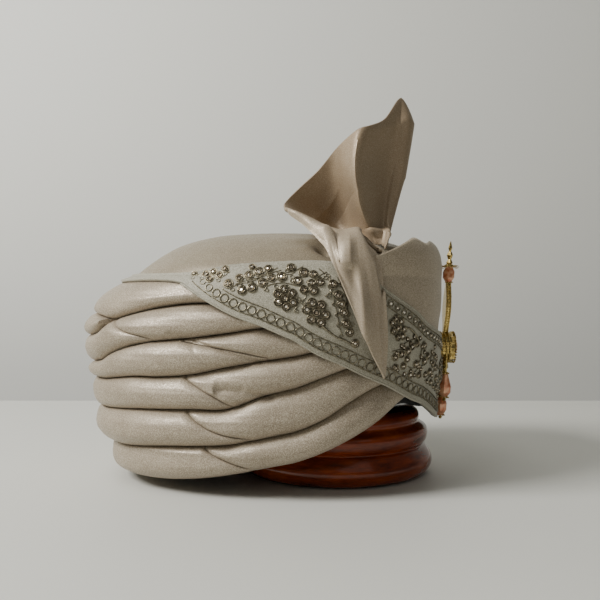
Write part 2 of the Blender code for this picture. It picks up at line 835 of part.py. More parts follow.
def brooch_solid(name, slot, rings, **ends):
    """A piece of the brooch. All of them lean forward together, as the band does below them."""
    leaning = [[point + Vector((BROOCH_LEAN * (point.z - BROOCH_HEIGHT), 0.0, 0.0))
                for point in ring] for ring in rings]
    return ring_solid(name, slot, leaning, METAL_ANGLE, **ends)


def turned(name, foot, outline, radius, length, sides):
    """A gold solid turned about an upright axis, from its foot upwards."""
    rings = []
    for share, rise in outline:
        rings.append([foot + Vector((share * radius * math.cos(math.tau * i / sides),
                                     share * radius * math.sin(math.tau * i / sides),
                                     rise * length)) for i in range(sides)])
    return brooch_solid(name, "gold", rings)


def bored(name, foot, outline, radius, length):
    """A turned pink bead with a hole for its wire."""
    bore = (WIRE_RADIUS + GAP) / math.cos(math.pi / BEAD_SIDES)
    rings = []
    for i in range(BEAD_SIDES):
        angle = math.tau * i / BEAD_SIDES
        across = Vector((math.cos(angle), math.sin(angle), 0))
        profile = [foot + across * share * radius + Vector((0, 0, rise * length))
                   for share, rise in outline]
        profile += [foot + across * bore + Vector((0, 0, length)), foot + across * bore]
        rings.append(profile)
    return brooch_solid(name, "pink_glass", rings, closed=True)


def plate(name, outline, x, depth):
    """A flat gold solid that faces forward, from its outline in Y and Z."""
    rings = [[Vector((x + step, y, z)) for y, z in outline] for step in (0.0, depth)]
    return brooch_solid(name, "gold", rings)


def disc_outline(radius, count, petals=0, share=0.0):
    """A circle at the brooch's height, with petals if it has a number of them."""
    points = []
    for i in range(count):
        angle = math.tau * i / count
        reach = radius * (1.0 - share + share * math.cos(petals * angle))
        points.append((reach * math.sin(angle), BROOCH_HEIGHT + reach * math.cos(angle)))
    return points


def hanger(name, wire_x, across, bottom, top):
    """A wire with a knob at its lower end that holds the beads."""
    foot = Vector((wire_x, across, bottom - KNOB_LENGTH))
    knob = turned(name + "_knob", foot, KNOB_OUTLINE, KNOB_RADIUS, KNOB_LENGTH, WIRE_SIDES)
    foot = Vector((wire_x, across, bottom - KNOB_LENGTH / 2))
    length = top - foot.z
    wire = turned(name + "_wire", foot, WIRE_OUTLINE, WIRE_RADIUS, length, WIRE_SIDES)
    return [knob, wire]


def solder(body, pieces):
    """Joins more pieces to a body, which keeps its name."""
    for piece in pieces:
        piece.hide_render = True
        piece.display_type = "WIRE"
        join = body.modifiers.new(piece.name, "BOOLEAN")
        join.operation = "UNION"
        join.object = piece
        join.solver = "EXACT"


def build_brooch():
    """Gold brooch on the front of the band, with its pink stone, beads and drops."""
    out = BAND_SEAT + CLOTH + GAP + BAND_THICKNESS + BROOCH_SEAT
    back = HEAD_CENTRE + body_reach(BROOCH_HEIGHT)[0] + out
    wire_x = back + DRUM_DEPTH * WIRE_SHARE
    leaf_foot = BROOCH_HEIGHT + DRUM_RADIUS * LEAF_START
    bead_foot = leaf_foot + LEAF_LENGTH + GAP
    finial_foot = bead_foot + BEAD_LENGTH + GAP
    rosette_foot = BROOCH_HEIGHT - DRUM_RADIUS * ROSETTE_START - ROSETTE_LENGTH
    drop_foot = rosette_foot - GAP - DROP_LENGTH
    tip_foot = drop_foot - GAP - TIP_LENGTH

    half = [(share * LEAF_WIDTH / 2, leaf_foot + rise * LEAF_LENGTH)
            for rise, share in LEAF_OUTLINE]
    leaf_outline = half + [(-y, z) for y, z in reversed(half)]
    drum = plate("brooch_frame", disc_outline(DRUM_RADIUS, DRUM_SIDES), back, DRUM_DEPTH)
    pieces = [
        plate("brooch_disc", disc_outline(DISC_RADIUS, DISC_SIDES, DISC_PETALS, PETAL_SHARE),
              back + DRUM_DEPTH - SEAT, DISC_DEPTH + SEAT),
        plate("brooch_leaf", leaf_outline, wire_x - LEAF_DEPTH / 2, LEAF_DEPTH),
        turned("brooch_finial", Vector((wire_x, 0.0, finial_foot)), FINIAL_OUTLINE,
               FINIAL_RADIUS, FINIAL_LENGTH, TURNED_SIDES),
        turned("brooch_rosette", Vector((wire_x, 0.0, rosette_foot)), ROSETTE_OUTLINE,
               ROSETTE_RADIUS, ROSETTE_LENGTH, TURNED_SIDES),
    ]
    pieces += hanger("brooch_centre", wire_x, 0.0, tip_foot - GAP, finial_foot + GAP)
    pieces += hanger("brooch_left", wire_x, DROP_SPREAD, drop_foot - GAP, BROOCH_HEIGHT)
    pieces += hanger("brooch_right", wire_x, -DROP_SPREAD, drop_foot - GAP, BROOCH_HEIGHT)
    solder(drum, pieces)

    beads = (
        # name, across, foot, outline, radius, length
        ("brooch_top_bead", 0.0, bead_foot, BEAD_OUTLINE, BEAD_RADIUS, BEAD_LENGTH),
        ("brooch_drop_centre", 0.0, drop_foot, DROP_OUTLINE, DROP_RADIUS, DROP_LENGTH),
        ("brooch_drop_left", DROP_SPREAD, drop_foot, DROP_OUTLINE, DROP_RADIUS, DROP_LENGTH),
        ("brooch_drop_right", -DROP_SPREAD, drop_foot, DROP_OUTLINE, DROP_RADIUS, DROP_LENGTH),
        ("brooch_tip_bead", 0.0, tip_foot, BEAD_OUTLINE, TIP_RADIUS, TIP_LENGTH),
    )
    for name, across, foot, outline, radius, length in beads:
        bored(name, Vector((wire_x, across, foot)), outline, radius, length)

    front = back + DRUM_DEPTH + DISC_DEPTH + GAP
    rings = []
    for share, depth in STONE_OUTLINE:
        outline = disc_outline(share * STONE_RADIUS, STONE_SIDES)
        rings.append([Vector((front + depth * STONE_DEPTH, y, z)) for y, z in outline])
    brooch_solid("brooch_stone", "pink_glass", rings)


def main():
    clear_scene()
    build_wraps()
    build_lining()
    build_crown()
    build_panel()
    build_band()
    build_plume()
    build_brooch()
    build_stand_base()
    build_stand_post()


main()
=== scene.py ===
# %% [markdown]
# # A tied pagri turban on its stand
#
# The real thing is a length of champagne satin wound over padding into six fat rolls, with
# a pale embroidered band across the front, a standing plume of the same cloth and a hanging
# brooch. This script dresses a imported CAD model, which stays as the frame. Every piece is
# made in metres in the same frame: +X is the wearer's front, -Y the wearer's right, +Z up.

# %% Load the frame
import math
import random

import bmesh
import bpy
from mathutils import Matrix, Vector, noise


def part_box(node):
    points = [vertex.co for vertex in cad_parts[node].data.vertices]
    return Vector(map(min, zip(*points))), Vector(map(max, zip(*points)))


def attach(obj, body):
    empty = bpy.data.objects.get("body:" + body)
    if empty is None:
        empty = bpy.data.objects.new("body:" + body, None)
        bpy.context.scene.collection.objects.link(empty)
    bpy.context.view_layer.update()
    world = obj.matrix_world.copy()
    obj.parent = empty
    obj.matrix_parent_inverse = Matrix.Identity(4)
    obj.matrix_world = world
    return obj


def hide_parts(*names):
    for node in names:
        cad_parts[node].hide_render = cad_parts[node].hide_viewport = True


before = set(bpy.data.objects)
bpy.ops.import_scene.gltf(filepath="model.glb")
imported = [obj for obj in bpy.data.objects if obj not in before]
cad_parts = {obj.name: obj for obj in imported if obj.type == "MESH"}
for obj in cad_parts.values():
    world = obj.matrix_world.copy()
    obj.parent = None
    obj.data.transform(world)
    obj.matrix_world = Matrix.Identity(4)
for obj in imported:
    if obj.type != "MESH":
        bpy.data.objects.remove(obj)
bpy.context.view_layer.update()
bpy.ops.object.select_all(action="DESELECT")

# %% [markdown]
# ## Named sizes
#
# The cloth pieces follow one outer surface, the wound body, which is known by its reach to
# the front, back and side at each height. The same sizes and tables shape the CAD solids,
# so the fine cloth lies exactly where its solid does.

# %% Sizes of the head, the wound cloth and the stand
HEAD_LENGTH = 0.200
HEAD_WIDTH = 0.156
HOLLOW_DOME = 0.096
DOME_START = 0.070
PLAN_POWER = 2.2
DOME_POWER = 2.2
BACK_PADDING = 0.053
SIDE_PADDING = 0.0305
FRONT_PADDING = 0.0098
WRAP_BASE = 0.009
WRAP_RISE = 0.134
WRAP_TOP = WRAP_BASE + WRAP_RISE
CREASE_DEPTH = 0.007
CREASE_SHARE = 0.36
CROWN_RISE = 0.0345
PANEL_RISE = 0.027
PANEL_SPAN = 63.0
PANEL_TUCK = 0.36
CLOTH = 0.002
LINING_WALL = 0.002
GAP = 0.0003
SEAT = 0.0005
CREASE_GAP = 0.0003
BAND_SEAT = 0.0007
STAND_RADIUS = 0.0725
STAND_TOP = 0.048
HALF_LENGTH = HEAD_LENGTH / 2
HALF_WIDTH = HEAD_WIDTH / 2
HEAD_CENTRE = -0.032

# %% Tables of the creases and of the outer surface
CREASE_NAMES = ("bottom", "six", "five", "four", "three", "tuck", "two", "one")
CREASES = (
    # turn, bottom, six, five, four, three, tuck, two, one: shares of WRAP_RISE
    (0, 0.470, 0.530, 0.590, 0.650, 0.701, 0.742, 0.743, 0.787),
    (15, 0.463, 0.530, 0.590, 0.650, 0.701, 0.742, 0.743, 0.787),
    (30, 0.440, 0.526, 0.593, 0.657, 0.709, 0.749, 0.750, 0.795),
    (45, 0.396, 0.515, 0.597, 0.668, 0.724, 0.764, 0.765, 0.810),
    (60, 0.282, 0.466, 0.590, 0.679, 0.743, 0.786, 0.787, 0.836),
    (70, 0.216, 0.403, 0.567, 0.672, 0.757, 0.805, 0.806, 0.858),
    (80, 0.157, 0.321, 0.522, 0.653, 0.769, 0.820, 0.821, 0.881),
    (90, 0.103, 0.261, 0.466, 0.619, 0.765, 0.839, 0.840, 0.910),
    (97, 0.075, 0.228, 0.425, 0.595, 0.753, 0.857, 0.858, 0.940),
    (105, 0.045, 0.198, 0.369, 0.567, 0.728, 0.872, 0.873, 0.970),
    (115, 0.016, 0.184, 0.362, 0.530, 0.705, 0.872, 0.873, 0.985),
    (126, -0.004, 0.173, 0.354, 0.513, 0.687, 0.852, 0.853, 0.989),
    (135, -0.012, 0.160, 0.347, 0.510, 0.664, 0.824, 0.825, 0.993),
    (146, -0.015, 0.146, 0.336, 0.493, 0.619, 0.780, 0.793, 0.995),
    (153, -0.015, 0.143, 0.330, 0.483, 0.582, 0.728, 0.802, 0.996),
    (165, -0.015, 0.138, 0.325, 0.478, 0.563, 0.701, 0.818, 0.996),
    (180, -0.015, 0.134, 0.321, 0.478, 0.552, 0.701, 0.821, 0.996),
)
BODY = (
    # height, back, side, front
    (0.000, 0.640, 0.754, 0.480),
    (0.120, 0.690, 0.820, 0.480),
    (0.160, 0.790, 0.890, 0.480),
    (0.246, 0.877, 0.934, 0.480),
    (0.440, 0.902, 0.951, 0.500),
    (0.590, 0.953, 0.984, 0.530),
    (0.687, 1.000, 1.000, 0.540),
    (0.776, 0.972, 0.984, 0.640),
    (0.836, 0.906, 0.951, 0.780),
    (0.903, 0.792, 0.902, 0.840),
    (0.948, 0.660, 0.852, 0.850),
    (0.985, 0.491, 0.787, 0.860),
    (1.000, 0.377, 0.754, 0.860),
)
CROWN = (
    # rise, back, side, front
    (0.000, 1.000, 1.000, 1.000),
    (0.203, 0.930, 0.965, 0.995),
    (0.377, 0.865, 0.900, 0.965),
    (0.551, 0.790, 0.822, 0.900),
    (0.696, 0.715, 0.723, 0.790),
    (0.812, 0.625, 0.604, 0.640),
    (0.899, 0.530, 0.475, 0.490),
    (0.957, 0.420, 0.340, 0.340),
    (0.991, 0.220, 0.170, 0.170),
)
BAND = (
    # turn, lower edge, upper edge: shares of WRAP_RISE
    (0, 0.231, 0.690),
    (12, 0.250, 0.692),
    (22, 0.284, 0.722),
    (37, 0.366, 0.776),
    (45, 0.400, 0.832),
    (58, 0.478, 0.920),
    (66, 0.522, 0.990),
    (75, 0.582, 1.052),
    (84, 0.642, 1.066),
    (95, 0.760, 1.060),
    (102, 0.815, 1.054),
    (109, 0.880, 1.046),
    (114, 0.925, 1.032),
    (120, 0.965, 1.016),
    (131, 0.980, 1.012),
    (150, 0.982, 1.014),
    (180, 0.982, 1.014),
)
PANEL_TOP = (
    # turn, top edge above the rolls as a share of PANEL_RISE
    (0, 0.740),
    (8, 0.765),
    (15, 0.850),
    (25, 0.940),
    (33, 0.860),
    (40, 0.970),
    (47, 0.850),
    (54, 0.690),
    (63, 0.480),
)
PANEL_LEAN = (
    # height as a share of PANEL_RISE, reach as a share of the crown's foot
    (0.000, 1.000),
    (0.300, 1.004),
    (0.600, 0.996),
    (0.800, 0.978),
    (1.000, 0.945),
)

# %% [markdown]
# ## The surface that the cloth follows
#
# A turn is an angle round the head: 0 at the front, 90 at the wearer's right, 180 at the
# back. A turn and a height give a point, and a third number moves it outwards.

# %% Points on the wound body
READ_CACHE = {}


def smooth_read(table, place, column):
    """Value of a column at a place, on a smooth curve through the table's rows."""
    key = (id(table), round(place, 5), column)
    if key in READ_CACHE:
        return READ_CACHE[key]
    if place <= table[0][0]:
        value = table[0][column]
    elif place >= table[-1][0]:
        value = table[-1][column]
    else:
        last = len(table) - 1
        index = max(i for i in range(last) if table[i][0] <= place)
        low, high = table[index], table[index + 1]
        span = high[0] - low[0]

        def slope(i):
            before, after = table[max(i - 1, 0)], table[min(i + 1, last)]
            return (after[column] - before[column]) / (after[0] - before[0])

        first, second = slope(index) * span, slope(index + 1) * span
        if high[column] == low[column]:
            first = second = 0.0
        share = (place - low[0]) / span
        cube = share ** 3
        square = share ** 2
        value = (low[column] * (2 * cube - 3 * square + 1)
                 + first * (cube - 2 * square + share)
                 + high[column] * (3 * square - 2 * cube) + second * (cube - square))
    READ_CACHE[key] = value
    return value


def from_front(turn):
    turned = turn % 360.0
    return min(turned, 360.0 - turned)


def closed_turn(u):
    """Turn at a share of the way round the head, whose end meets its start."""
    return 360.0 * (u if u < 1.0 else 0.0)


def spline(points, share):
    """A point on a smooth curve that passes through all the points."""
    last = len(points) - 1
    place = min(max(share, 0.0), 1.0) * last
    index = min(int(place), last - 1)
    t = place - index
    before, one = points[max(index - 1, 0)], points[index]
    two, after = points[index + 1], points[min(index + 2, last)]
    return 0.5 * ((2 * one) + (two - before) * t + (2 * before - 5 * one + 4 * two - after) * t * t
                  + (3 * one - before - 3 * two + after) * t ** 3)


def plan_point(turn, front, back, side, height):
    """A point of the oval plan, whose reach to the front, back and side is given."""
    cosine, sine = (math.copysign(abs(part) ** (2 / PLAN_POWER), part)
                    for part in (math.cos(math.radians(turn)), math.sin(math.radians(turn))))
    reach = front if cosine > 0 else back
    return Vector((HEAD_CENTRE + cosine * reach, -sine * side, height))


def crease_height(turn, name):
    column = 1 + CREASE_NAMES.index(name)
    return WRAP_BASE + WRAP_RISE * smooth_read(CREASES, from_front(turn), column)


def body_reach(height):
    share = (height - WRAP_BASE) / WRAP_RISE
    if share <= 1.0:
        back, side, front = (smooth_read(BODY, share, column) for column in (1, 2, 3))
        return (HALF_LENGTH + FRONT_PADDING * front, HALF_LENGTH + BACK_PADDING * back,
                HALF_WIDTH + SIDE_PADDING * side)
    front, back, side = body_reach(WRAP_TOP)
    rise = (height - WRAP_TOP) / CROWN_RISE
    return (front * smooth_read(CROWN, rise, 3), back * smooth_read(CROWN, rise, 1),
            side * smooth_read(CROWN, rise, 2))


def body_point(turn, height, out=0.0):
    front, back, side = body_reach(height)
    return plan_point(turn, front + out, back + out, side + out, height)


def hollow_point(turn, height, out=0.0):
    dome = HOLLOW_DOME + out
    rise = min(max(height - DOME_START, 0.0) / dome, 1.0)
    share = (1.0 - rise ** DOME_POWER) ** (1 / DOME_POWER)
    along, across = (HALF_LENGTH + out) * share, (HALF_WIDTH + out) * share
    return plan_point(turn, along, along, across, height)


def band_edges(turn):
    place = from_front(turn)
    return (WRAP_BASE + WRAP_RISE * smooth_read(BAND, place, 1),
            WRAP_BASE + WRAP_RISE * smooth_read(BAND, place, 2))


def smooth_step(value, start, end):
    share = min(max((value - start) / (end - start), 0.0), 1.0)
    return share * share * (3 - 2 * share)


# Where the band leaves room for the panel: turns, and shares of the band's depth
PANEL_ROOM_TURNS = (64.0, 71.0)
PANEL_ROOM_SHARES = (0.25, 0.52)


def band_lift(turn, share):
    """Room under the band for the front panel."""
    over_panel = 1.0 - smooth_step(from_front(turn), *PANEL_ROOM_TURNS)
    return (CLOTH + GAP) * over_panel * smooth_step(share, *PANEL_ROOM_SHARES)


def band_point(turn, share, out=0.0):
    """A point on the band's face, by its turn and its share of the band's depth."""
    low, high = band_edges(turn)
    height = low + (high - low) * share
    return body_point(turn, height, BAND_SEAT + CLOTH + band_lift(turn, share) + out)


# %% [markdown]
# ## Camera, floor and light
#
# The photograph was taken level, from the wearer's right, in soft light from above with a
# pale wall behind. The picture is square, and the lens is worked out from the stand. The
# table ends where the photograph shows its far edge, and the wall stands further back, so
# that views from behind look past the table's edge and not into the wall.

# %% Camera, floor, backdrop and lights
CAMERA_PLACE = (-0.0268, -0.567, 0.128)
FOCAL_PIXELS = 741
PICTURE_PIXELS = 600
SENSOR = 36.0

camera = bpy.data.objects.new("camera", bpy.data.cameras.new("camera"))
bpy.context.scene.collection.objects.link(camera)
camera.location = CAMERA_PLACE
camera.rotation_euler = (math.pi / 2, 0.0, 0.0)
camera.data.sensor_width = SENSOR
camera.data.lens = SENSOR * FOCAL_PIXELS / PICTURE_PIXELS
camera.data.clip_start = 0.01
bpy.context.scene.camera = camera


def set_inputs(node, values):
    """Sets a node's inputs by their names."""
    for name, value in values.items():
        node.inputs[name].default_value = value


def plain_material(name, colour, roughness):
    made = bpy.data.materials.new(name)
    made.use_nodes = True
    set_inputs(made.node_tree.nodes["Principled BSDF"],
               {"Base Color": (*colour, 1.0), "Roughness": roughness})
    return made


FLOOR_DEPTH = 0.375
FLOOR_SIZE = 8.0
WALL_DEPTH = 0.78
TABLE_COLOUR = (0.66, 0.66, 0.615)
WALL_COLOUR = (0.80, 0.80, 0.755)
LIGHT_AIM = (0.0, 0.0, 0.1)
ROOM_COLOUR = (0.84, 0.85, 0.81, 1.0)
ROOM_STRENGTH = 0.14

bpy.ops.mesh.primitive_plane_add(size=FLOOR_SIZE, location=(0, FLOOR_DEPTH - FLOOR_SIZE / 2, 0))
floor = bpy.context.active_object
floor.name = "floor"
bpy.ops.object.transform_apply(location=True)
floor.data.materials.append(plain_material("pale_table", TABLE_COLOUR, 0.55))
bpy.ops.mesh.primitive_plane_add(size=FLOOR_SIZE, location=(0, WALL_DEPTH, 0),
                                 rotation=(math.pi / 2, 0, 0))
wall = bpy.context.active_object
wall.name = "wall"
bpy.ops.object.transform_apply(location=True, rotation=True)
wall.data.materials.append(plain_material("pale_wall", WALL_COLOUR, 0.6))

LIGHTS = (
    # name, place, size, power, colour
    ("key", (-1.33, -0.60, 1.20), 0.6, 42.5, (1.0, 0.985, 0.95)),
    ("top", (-0.45, -0.35, 1.30), 0.5, 3.5, (1.0, 0.995, 0.96)),
    ("fill", (0.5, -1.2, 0.9), 1.0, 1.1, (1.0, 0.94, 0.84)),
)
for name, place, size, power, colour in LIGHTS:
    data = bpy.data.lights.new(name, "AREA")
    data.energy = power
    data.size = size
    data.color = colour
    light = bpy.data.objects.new(name, data)
    light.location = place
    aim = Vector(LIGHT_AIM) - Vector(place)
    light.rotation_euler = aim.to_track_quat("-Z", "Y").to_euler()
    bpy.context.scene.collection.objects.link(light)

world = bpy.data.worlds.new("soft_room")
world.use_nodes = True
set_inputs(world.node_tree.nodes["Background"],
           {"Color": ROOM_COLOUR, "Strength": ROOM_STRENGTH})
bpy.context.scene.world = world
print("lights", len(LIGHTS))

# %% [markdown]
# ## Materials
#
# Each material is coloured by a fine noise, its grain, and has layers of relief. Satin with
# a metallic fleck is the main one. A wide noise, its clouds, gives it faint streaks, and
# its gloss follows the fleck, so that it breaks up as on pressed cloth. Darker and lighter
# copies of the satin are painted shade on the crown and painted light on the panel and plume.

# %% A small kit for node materials


def add_node(tree, kind, inputs=None, **settings):
    node = tree.nodes.new(kind)
    for key, value in settings.items():
        setattr(node, key, value)
    set_inputs(node, inputs or {})
    return node


def noise_of(tree, place, scale, detail=2.0, roughness=0.5, stretch=None):
    """Value of a noise, which may be stretched along the axes."""
    node = add_node(tree, "ShaderNodeTexNoise",
                    {"Scale": scale, "Detail": detail, "Roughness": roughness})
    if stretch:
        mapping = add_node(tree, "ShaderNodeMapping", {"Scale": stretch})
        tree.links.new(place, mapping.inputs["Vector"])
        place = mapping.outputs["Vector"]
    tree.links.new(place, node.inputs["Vector"])
    return node.outputs["Fac"]


def ramp(tree, source, target, stops):
    """Leads a value through colours or greys into an input of the shader."""
    node = tree.nodes.new("ShaderNodeValToRGB")
    elements = node.color_ramp.elements
    while len(elements) < len(stops):
        elements.new(0.5)
    for element, (place, tone) in zip(elements, stops):
        element.position = place
        element.color = (*(tone if isinstance(tone, tuple) else (tone,) * 3), 1.0)
    tree.links.new(source, node.inputs["Fac"])
    tree.links.new(node.outputs["Color"], target)


def add_relief(tree, shader, place, layers):
    """Bumps on top of each other, each by its grain, its strength and its depth."""
    below = None
    for grain, strength, depth in layers:
        node = add_node(tree, "ShaderNodeBump", {"Strength": strength, "Distance": depth})
        tree.links.new(noise_of(tree, place, *grain), node.inputs["Height"])
        if below:
            tree.links.new(below.outputs["Normal"], node.inputs["Normal"])
        tree.links.new(node.outputs["Normal"], shader.inputs["Normal"])
        below = node


def grained_material(name, values, grain, stops, relief=(), gloss=None, clouds=None):
    """A grain is the scale, detail and roughness of a noise, and its stretch if it has one."""
    made = bpy.data.materials.new(name)
    made.use_nodes = True
    tree = made.node_tree
    shader = tree.nodes["Principled BSDF"]
    set_inputs(shader, values)
    place = add_node(tree, "ShaderNodeTexCoord").outputs["Object"]
    source = noise_of(tree, place, *grain)
    if clouds:
        mix = add_node(tree, "ShaderNodeMix", {"Factor": clouds[0]})
        tree.links.new(source, mix.inputs["A"])
        tree.links.new(noise_of(tree, place, *clouds[1]), mix.inputs["B"])
        source = mix.outputs["Result"]
    ramp(tree, source, shader.inputs["Base Color"], stops)
    if gloss:
        ramp(tree, noise_of(tree, place, *gloss[0]), shader.inputs["Roughness"], gloss[1])
    add_relief(tree, shader, place, relief)
    return made


# %% Satins, with darker and lighter copies that are painted shade and painted light
SATIN_SHINE = {"Metallic": 0.22, "Sheen Weight": 0.06, "Sheen Roughness": 0.4,
               "Sheen Tint": (0.95, 0.88, 0.76, 1.0)}
FLECK = (1700, 1.0, 0.5)
SATIN_CLOUDS = (0.15, (60, 4.0, 0.6))
SATIN_GLOSS = (FLECK, ((0.45, 0.54), (0.66, 0.32)))
SATIN_RELIEF = (((85, 3.0, 0.5), 0.20, 0.0010), ((1500, 2.0, 0.6), 0.45, 0.00025))
CLOTH_STOPS = (0.36, 0.50, 0.66)
SATINS = {
    # dark, middle and light tone
    "champagne_satin": ((0.252, 0.203, 0.144), (0.348, 0.289, 0.214), (0.530, 0.460, 0.358)),
    # darker copy: painted shade on the crown's top, which faces the light
    "crown_satin_painted_shade": ((0.205, 0.165, 0.110), (0.276, 0.231, 0.161), (0.372, 0.321, 0.236)),
    # lighter copy: painted light on the panel, which lies in the plume's shadow
    "panel_satin_painted_light": ((0.315, 0.254, 0.178), (0.435, 0.361, 0.262), (0.600, 0.520, 0.400)),
    # lighter copy: painted light on the plume, mostly its shaded tail and lip
    "plume_satin_painted_light_and_shade": ((0.338, 0.266, 0.184), (0.407, 0.332, 0.240), (0.495, 0.420, 0.322)),
}
satin, crown_satin_painted_shade, panel_satin_painted_light, plume_satin_painted_light_and_shade = [
    grained_material(name, SATIN_SHINE, FLECK, tuple(zip(CLOTH_STOPS, tones)), SATIN_RELIEF,
                     SATIN_GLOSS, SATIN_CLOUDS)
    for name, tones in SATINS.items()]

# %% Painted shade on the plume's leaf and collar, where its attribute says so
PAINTED_SHADE_TINT = (0.785, 0.72, 0.645, 1.0)
tree = plume_satin_painted_light_and_shade.node_tree
satin_shader = tree.nodes["Principled BSDF"]
painted_shade = add_node(tree, "ShaderNodeAttribute", attribute_name="painted_shade")
darker = add_node(tree, "ShaderNodeMix", {"B": PAINTED_SHADE_TINT}, data_type="RGBA",
                  blend_type="MULTIPLY")
tree.links.new(painted_shade.outputs["Fac"], darker.inputs["Factor"])
tree.links.new(satin_shader.inputs["Base Color"].links[0].from_socket, darker.inputs["A"])
tree.links.new(darker.outputs["Result"], satin_shader.inputs["Base Color"])

# %% Band cloth, lining, lacquer, metals and stones
WEAVE = (1900, 2.0, 0.6)
BAND_TONES = ((0.21, 0.195, 0.143), (0.345, 0.322, 0.246), (0.51, 0.48, 0.385))
LINING_WEAVE = (1400, 2.0, 0.5)
WOOD_GRAIN = (28, 5.0, 0.65, (1.0, 1.0, 5.0))
WEAR = (900, 3.0, 0.6)
STONE_DEPTH = (260, 2.0, 0.5)

band_cloth = grained_material(
    "band_cloth", {"Roughness": 0.55, "Sheen Weight": 0.2}, WEAVE,
    tuple(zip(CLOTH_STOPS, BAND_TONES)), (((140, 3.0, 0.6), 0.3, 0.0008), (WEAVE, 0.5, 0.0003)))
black_lining = grained_material("black_lining", {"Roughness": 0.85}, LINING_WEAVE,
                                ((0.4, 0.006), (0.7, 0.03)), ((LINING_WEAVE, 0.4, 0.0003),))
lacquer = grained_material(
    "red_brown_lacquer",
    {"Specular IOR Level": 0.35, "Coat Weight": 0.13, "Coat Roughness": 0.05}, WOOD_GRAIN,
    ((0.30, (0.055, 0.007, 0.001)), (0.55, (0.21, 0.030, 0.002)), (0.80, (0.37, 0.076, 0.006))),
    ((WOOD_GRAIN, 0.12, 0.0006),), gloss=((420, 3.0, 0.6), ((0.35, 0.10), (0.75, 0.24))))


def metal_material(name, light, dark, roughness):
    return grained_material(name, {"Metallic": 1.0, "Roughness": roughness}, WEAR,
                            ((0.35, dark), (0.6, light)), ((WEAR, 0.2, 0.0001),))


def stone_material(name, colour, deep, transmission, metallic):
    return grained_material(
        name, {"Transmission Weight": transmission, "Roughness": 0.03, "IOR": 1.55,
               "Coat Weight": 0.4, "Metallic": metallic},
        STONE_DEPTH, ((0.35, deep), (0.65, colour)))


gold = metal_material("gold_plate", (0.72, 0.54, 0.20), (0.20, 0.135, 0.035), 0.18)
thread_metal = metal_material("silver_thread", (0.33, 0.295, 0.21), (0.10, 0.082, 0.05), 0.32)
cup_metal = metal_material("dark_cup", (0.36, 0.31, 0.225), (0.10, 0.08, 0.05), 0.25)
pink_glass = stone_material("pink_glass", (0.98, 0.55, 0.33), (0.66, 0.21, 0.09), 0.15, 0.30)
clear_stone = stone_material("champagne_stone", (1.00, 0.94, 0.80), (0.34, 0.27, 0.19), 0.0, 0.85)
print("materials", len(bpy.data.materials))

# %% [markdown]
# ## A helper for draped cloth
#
# Each cloth surface starts as Blender's grid. Its points are then laid on the wound body,
# each by its two shares across the grid, and edges that meet are merged.

# %% Lay a grid on a surface
MERGE = 1e-6
CLOTH_ANGLE = math.radians(50)


def activate(piece):
    bpy.ops.object.select_all(action="DESELECT")
    piece.select_set(True)
    bpy.context.view_layer.objects.active = piece


def merge_and_face_out(close_ends=False):
    """Merges edges that meet on the active piece, and turns its faces outwards."""
    bpy.ops.object.mode_set(mode="EDIT")
    bpy.ops.mesh.select_all(action="SELECT")
    bpy.ops.mesh.remove_doubles(threshold=MERGE)
    if close_ends:
        bpy.ops.mesh.fill_holes(sides=0)
    bpy.ops.mesh.normals_make_consistent(inside=False)
    bpy.ops.object.mode_set(mode="OBJECT")


def laid_grid(name, along, across, place, close_ends=False, painted_shade_of=None):
    """A grid of along by across faces whose points are put where place(u, v) says."""
    bpy.ops.object.select_all(action="DESELECT")
    bpy.ops.mesh.primitive_grid_add(x_subdivisions=along, y_subdivisions=across, size=2.0)
    piece = bpy.context.active_object
    piece.name = piece.data.name = name
    # A point attribute holds the share of painted shade, where a function for it is given
    side = piece.data.attributes.new("painted_shade", "FLOAT", "POINT") if painted_shade_of else None
    for point in piece.data.vertices:
        u, v = (min(max((part + 1.0) / 2.0, 0.0), 1.0) for part in point.co.xy)
        point.co = place(u, v)
        if side:
            side.data[point.index].value = painted_shade_of(u, v)
    merge_and_face_out(close_ends)
    bpy.ops.object.shade_smooth_by_angle(angle=CLOTH_ANGLE)
    return piece


def thicken(piece, thickness, offset=1.0, even=True):
    """Gives a single cloth its thickness, outwards or, with offset -1, inwards."""
    wall = piece.modifiers.new("wall", "SOLIDIFY")
    wall.thickness = thickness
    wall.offset = offset
    wall.use_even_offset = even
    activate(piece)
    bpy.ops.object.modifier_apply(modifier=wall.name)


def dress(piece, finish, slot_name, *nodes):
    """Gives a piece its finish, and lets it stand for its CAD nodes."""
    piece.data.materials.clear()
    piece.data.materials.append(finish)
    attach(piece, "root")
    if nodes:
        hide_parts(*nodes)
    print(piece.name, len(piece.data.polygons), "faces")


# %% [markdown]
# ## The padded rolls
#
# Five rolls are one turn of cloth round the head each. Such a roll starts as a nose on the
# wearer's right, and its tail passes under that nose along a slanting seam. The top roll is
# a closed ring, and a short strand lies between two rolls at the back. A section is worked
# out at each turn, with a full outer side and a plain side against the lining.

